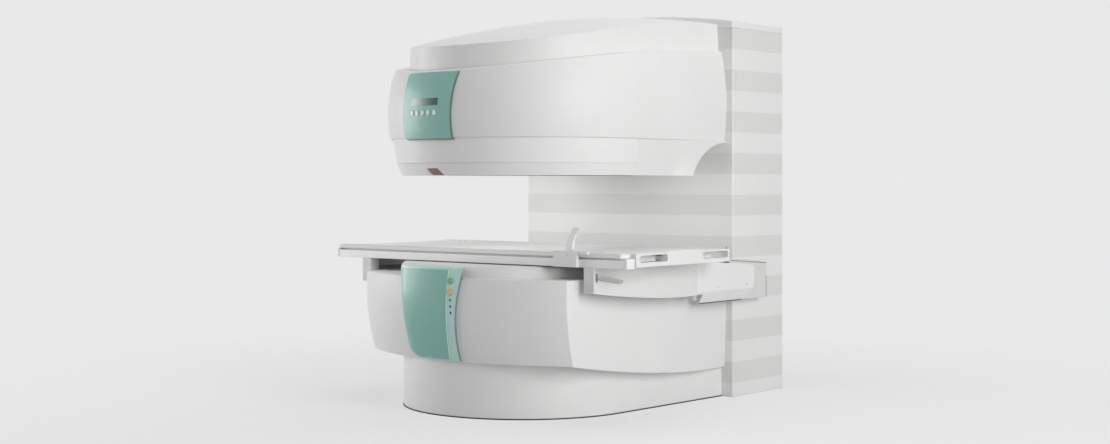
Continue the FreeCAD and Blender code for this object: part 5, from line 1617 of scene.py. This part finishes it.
class Studs(NodeWriter):
    """Small round heads in rows, made by one node tree: screws, bolts, knobs and lenses."""

    INPUTS = (("Head Radius", "NodeSocketFloat", 0.004), ("Head Height", "NodeSocketFloat", 0.002),
              ("Crown Share", "NodeSocketFloat", 0.8), ("Sides", "NodeSocketInt", 32),
              ("Slot Width", "NodeSocketFloat", 0.0008), ("Facing", "NodeSocketVector", (1.0, 0.0, 0.0)),
              ("Turn Seed", "NodeSocketInt", 3), ("Head Finish", "NodeSocketMaterial", None),
              ("Slot Finish", "NodeSocketMaterial", None))
    SLOT_SINKS = 0.45

    def __init__(self) -> None:
        """Build the tree with its named inputs."""
        super().__init__(bpy.data.node_groups.new("stud_row", "GeometryNodeTree"))
        face = self.tree.interface
        face.new_socket("Geometry", in_out="INPUT", socket_type="NodeSocketGeometry")
        self.sockets: dict[str, str] = {}
        for name, kind, value in self.INPUTS:
            socket = face.new_socket(name, in_out="INPUT", socket_type=kind)
            if value is not None:
                socket.default_value = value
            self.sockets[name] = socket.identifier
        face.new_socket("Geometry", in_out="OUTPUT", socket_type="NodeSocketGeometry")
        self.write()

    def write(self) -> None:
        """Lay out the tree: a crowned head and a dark bar of painted shade for its slot, turned to face outwards, on
        every point.
        """
        given = self.add("NodeGroupInput").outputs
        radius, height, width = given["Head Radius"], given["Head Height"], given["Slot Width"]
        half, quarter = self.math("MULTIPLY", height, 0.5), self.math("MULTIPLY", height, 0.25)
        top_radius = self.math("MULTIPLY", radius, given["Crown Share"])
        shank = self.add("GeometryNodeMeshCylinder", {"Vertices": given["Sides"], "Radius": radius, "Depth": half})
        crown = self.add("GeometryNodeMeshCone", {"Vertices": given["Sides"], "Radius Bottom": radius,
                                                  "Radius Top": top_radius, "Depth": half})
        head = self.join(self.raised(shank, quarter), self.raised(crown, half))
        # The slot is a dark bar across the crown, painted shade of a slot's recess.
        slot = self.add("GeometryNodeMeshCube", {"Size": self.vector(top_radius, width, width)})
        sunk = self.math("MULTIPLY_ADD", width, -self.SLOT_SINKS, height)
        stud = self.join(self.dressed(head, given["Head Finish"]),
                         self.dressed(self.raised(slot, sunk), given["Slot Finish"]))
        turn = self.add("FunctionNodeRandomValue", {"Max": math.pi, "Seed": given["Turn Seed"]}, data_type="FLOAT")
        angle = next(socket for socket in turn.outputs if socket.enabled)
        align = self.add("FunctionNodeAlignRotationToVector", {"Vector": given["Facing"]}, axis="Z")
        place = self.add("GeometryNodeInstanceOnPoints", {"Points": given["Geometry"], "Instance": stud,
                                                          "Rotation": align.outputs["Rotation"]})
        rotate = self.add("GeometryNodeRotateInstances", {"Instances": place.outputs["Instances"],
                                                          "Rotation": self.vector(0.0, 0.0, angle)})
        real = self.add("GeometryNodeRealizeInstances", {"Geometry": rotate.outputs["Instances"]})
        self.add("NodeGroupOutput", {"Geometry": real.outputs["Geometry"]})

    def vector(self, *values: object) -> Socket:
        """A vector of three sockets or numbers."""
        return self.add("ShaderNodeCombineXYZ", dict(enumerate(values))).outputs["Vector"]

    def raised(self, shape: bpy.types.Node, height: Socket) -> Socket:
        """A shape moved up."""
        inputs = {"Geometry": shape.outputs["Mesh"], "Translation": self.vector(0.0, 0.0, height)}
        return self.add("GeometryNodeTransform", inputs).outputs["Geometry"]

    def dressed(self, shape: Socket, finish: Socket) -> Socket:
        """A shape with its material."""
        return self.add("GeometryNodeSetMaterial", {"Geometry": shape, "Material": finish}).outputs["Geometry"]

    def join(self, *shapes: Socket) -> Socket:
        """Several shapes as one.

        Args:
            *shapes: The shapes, in order.

        Returns:
            The geometry socket.
        """
        joined = self.add("GeometryNodeJoinGeometry")
        for shape in shapes:
            self.feed(joined.inputs["Geometry"], shape)
        return joined.outputs["Geometry"]

    def row(self, name: str, places: Sequence[Point], **values: object) -> Piece:
        """Make one row of studs as a plain mesh.

        Args:
            name: Name of the piece.
            places: Foot of each stud.
            **values: Inputs of the tree, with underscores for spaces.

        Returns:
            The piece.
        """
        mesh = bpy.data.meshes.new(name)
        mesh.from_pydata(places, [], [])
        piece = bpy.data.objects.new(name, mesh)
        bpy.context.scene.collection.objects.link(piece)
        modifier = piece.modifiers.new("studs", "NODES")
        modifier.node_group = self.tree
        for key, value in values.items():
            modifier[self.sockets[key.replace("_", " ").title()]] = value
        Edging.settle(piece)
        return piece


@dataclass(frozen=True)
class Heads:
    """Small heads of one node: which way they face, on both sides or one, their screw slot and their corners."""

    node: str
    facing: Point
    both_sides: bool = False
    slot: float = 0.00001
    sides: int = 32


@dataclass(frozen=True)
class Fasteners:
    """Rows of screws, bolts, knobs and lenses, in metres."""

    heads: tuple[Heads, ...] = (Heads("housing_screws", (1.0, 0.0, 0.0), True, 0.0011),
                                Heads("side_knobs", (1.0, 0.0, 0.0), True),
                                Heads("yoke_bolts", (0.0, 1.0, 0.0), sides=6),
                                Heads("indicator_lenses", (0.0, -1.0, 0.0)))

    def build(self, workshop: Workshop) -> None:
        """Make each row from the stud tree at the places of the solids it stands for.

        Args:
            workshop: Where finished pieces go.
        """
        studs = Studs()
        for heads in self.heads:
            self.place(workshop, studs, heads)

    def place(self, workshop: Workshop, studs: Studs, heads: Heads) -> None:
        """Stand in for a node of small heads by studs of the same size at the same places.

        Args:
            workshop: Where finished pieces go.
            studs: The tree.
            heads: The node and the form of its heads.
        """
        axis = max(range(3), key=lambda i: abs(heads.facing[i]))
        groups: dict[float, list[tuple[Point, float, float]]] = {}
        for low, high in self.islands(workshop.frame.nodes[heads.node]):
            foot = (low + high) / 2
            way = math.copysign(1.0, foot[0]) if heads.both_sides else heads.facing[axis]
            foot[axis] = low[axis] if way > 0 else high[axis]
            radius = max((high - low)[i] for i in range(3) if i != axis) / 2
            groups.setdefault(way, []).append((tuple(foot), radius, (high - low)[axis]))
        draft = Draft()
        materials: list[bpy.types.Material] = []
        for way, found in groups.items():
            look = Vector((0.0, 0.0, 0.0))
            look[axis] = way
            # The slots take the seal's black as painted shade.
            row = studs.row(f"{heads.node}_row", [place for place, _, _ in found], head_radius=found[0][1],
                            head_height=found[0][2], sides=heads.sides, slot_width=heads.slot, facing=look,
                            head_finish=NODE_FINISH[heads.node].material(), slot_finish=Finishes.SEAL.material())
            draft.mesh.from_mesh(row.data)
            materials = materials or list(row.data.materials)
            bpy.data.objects.remove(row)
        piece = draft.object(heads.node + "_dressed")
        for material in materials:
            piece.data.materials.append(material)
        workshop.hand_in(piece, heads.node)

    @staticmethod
    def islands(node: Piece) -> list[tuple[Vector, Vector]]:
        """Boxes of a node's separate pieces.

        Args:
            node: The solid.

        Returns:
            Lowest and highest corner of each.
        """
        mesh = Draft.merged(node).mesh
        left = set(mesh.verts)
        boxes = []
        while left:
            stack, found = [left.pop()], []
            while stack:
                vert = stack.pop()
                found.append(vert.co.copy())
                for edge in vert.link_edges:
                    other = edge.other_vert(vert)
                    if other in left:
                        left.remove(other)
                        stack.append(other)
            boxes.append(tuple(Vector([pick(co[i] for co in found) for i in range(3)]) for pick in (min, max)))
        mesh.free()
        return sorted(boxes, key=lambda box: tuple(box[0]))


@dataclass(frozen=True)
class Lamp:
    """A square soft box: its place, the point it faces, its edge length in metres and its power in watts."""

    name: str
    place: Point
    aim: Point
    size: float
    power: float

    def hang(self) -> None:
        """Add the lamp to the scene."""
        data = bpy.data.lights.new(self.name, "AREA")
        data.shape = "SQUARE"
        data.size = self.size
        data.energy = self.power
        lamp = bpy.data.objects.new(self.name, data)
        lamp.location = self.place
        lamp.rotation_euler = (Vector(self.aim) - Vector(self.place)).to_track_quat("-Z", "Y").to_euler()
        lamp.visible_camera = False
        bpy.context.scene.collection.objects.link(lamp)


@dataclass(frozen=True)
class Studio:
    """Camera, floor and lights, in metres and degrees. Tones are linear."""

    eye: Point = (5.4707, -6.2742, 1.1557)
    turn: float = 40.0
    focal_pixels: float = 1600.0
    horizon_above_middle: float = 42.0
    sensor_width: float = 36.0
    clip_end: float = 200.0
    floor_half: float = 60.0
    floor_tones: Place = (0.62, 0.64)
    floor_seen_tone: float = 0.90
    floor_roughness: float = 0.8
    floor_specular: float = 0.1
    floor_patch: float = 0.8
    floor_detail: float = 2.0
    fade_span: Place = (1.2, 4.5)
    fade_shares: Place = (0.62, 1.0)
    backdrop: float = 0.814
    sky: float = 0.30
    lamps: tuple[Lamp, ...] = (
        Lamp("key_right", (7.4, -1.1, 2.7), (0.4, 0.1, 1.1), 4.0, 290.0),
        Lamp("fill_left", (-6.7, -2.9, 1.5), (-0.4, 0.0, 1.0), 4.0, 255.0),
        Lamp("top_soft", (0.2, 1.2, 7.0), (0.2, 0.3, 1.0), 5.0, 150.0),
        Lamp("gap_soft", (-0.1, 0.1, 1.165), (-0.1, 0.1, 0.0), 1.0, 1.8),
        Lamp("gap_back_left", (-0.6, 0.43, 1.0), (-0.6, 1.0, 1.0), 0.34, 0.4),
        Lamp("gap_back_right", (0.6, 0.43, 1.0), (0.6, 1.0, 1.0), 0.34, 0.36))

    def build(self) -> None:
        """Set up the camera, the floor and the lights."""
        self.camera()
        self.floor()
        self.world()
        for lamp in self.lamps:
            lamp.hang()

    def camera(self) -> None:
        """Stand the camera where the photograph's was."""
        data = bpy.data.cameras.new("camera")
        data.sensor_width = self.sensor_width
        data.lens = self.focal_pixels / PHOTO_WIDTH * self.sensor_width
        data.shift_y = -self.horizon_above_middle / PHOTO_WIDTH
        data.clip_end = self.clip_end
        camera = bpy.data.objects.new("camera", data)
        camera.location = self.eye
        camera.rotation_euler = (math.radians(90.0), 0.0, math.radians(self.turn))
        bpy.context.scene.collection.objects.link(camera)
        bpy.context.scene.camera = camera

    def floor(self) -> None:
        """Lay a plain pale floor that runs into the background and keeps the object's shadow."""
        half = self.floor_half
        mesh = bpy.data.meshes.new("floor")
        mesh.from_pydata([(-half, -half, 0.0), (half, -half, 0.0), (half, half, 0.0), (-half, half, 0.0)], [],
                         [(0, 1, 2, 3)])
        floor = bpy.data.objects.new("floor", mesh)
        bpy.context.scene.collection.objects.link(floor)
        mesh.materials.append(self.floor_material())

    def floor_material(self) -> bpy.types.Material:
        """Matt floor. What the camera sees of it fades into the background's tone away from the object.

        Returns:
            The material.
        """
        made = bpy.data.materials.new("floor_pale")
        tree = MaterialWriter(made)
        wander = tree.uneven(tree.place(), self.floor_patch, self.floor_detail)
        matt = tree.blend(wander, *((tone, tone, tone) for tone in self.floor_tones))
        seen = tree.seen()
        tree.give({"Roughness": self.floor_roughness, "Specular IOR Level": self.floor_specular,
                   "Base Color": tree.blend(seen, matt, (self.floor_seen_tone,) * 3)})
        glow = tree.add("ShaderNodeEmission", {"Color": (self.backdrop, self.backdrop, self.backdrop, 1.0)})
        coords = tree.add("ShaderNodeTexCoord").outputs["Object"]
        away = tree.add("ShaderNodeVectorMath", {0: coords}, operation="LENGTH").outputs["Value"]
        share = tree.math("MULTIPLY", tree.ramp(away, self.fade_span, self.fade_shares, Rise.SMOOTH), seen)
        mix = tree.add("ShaderNodeMixShader", {"Fac": share, 1: tree.shader.outputs["BSDF"],
                                               2: glow.outputs["Emission"]})
        tree.feed(tree.output.inputs["Surface"], mix.outputs["Shader"])
        return made

    def world(self) -> None:
        """Light everything from all round with a pale sky that the camera sees as the photo's background."""
        world = bpy.data.worlds.new("studio")
        world.use_nodes = True
        tree = NodeWriter(world.node_tree)
        mix = tree.add("ShaderNodeMixShader", {"Fac": tree.seen()})
        for number, tone, strength in ((1, 1.0, self.sky), (2, self.backdrop, 1.0)):
            ground = tree.add("ShaderNodeBackground", {"Color": (tone, tone, tone, 1.0), "Strength": strength})
            tree.feed(mix.inputs[number], ground.outputs["Background"])
        tree.add("ShaderNodeOutputWorld", {"Surface": mix.outputs["Shader"]})
        bpy.context.scene.world = world
        bpy.context.scene.view_settings.view_transform = "Standard"


def main() -> None:
    """Build the scene round the frame."""
    logging.basicConfig(level=logging.INFO, format="%(message)s")
    frame = Frame.load()
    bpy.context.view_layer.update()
    frame.dress(NODE_FINISH)
    workshop = Workshop(frame)
    for assembly in (ColumnUnit(), UpperUnit(), LowerUnit(), ControlPanels(), PatientTable(), GapShadowsAndGripBacks(), Fasteners()):
        assembly.build(workshop)
        LOG.info("built %s", type(assembly).__name__)
    Studio().build()


if __name__ == "__main__":
    main()
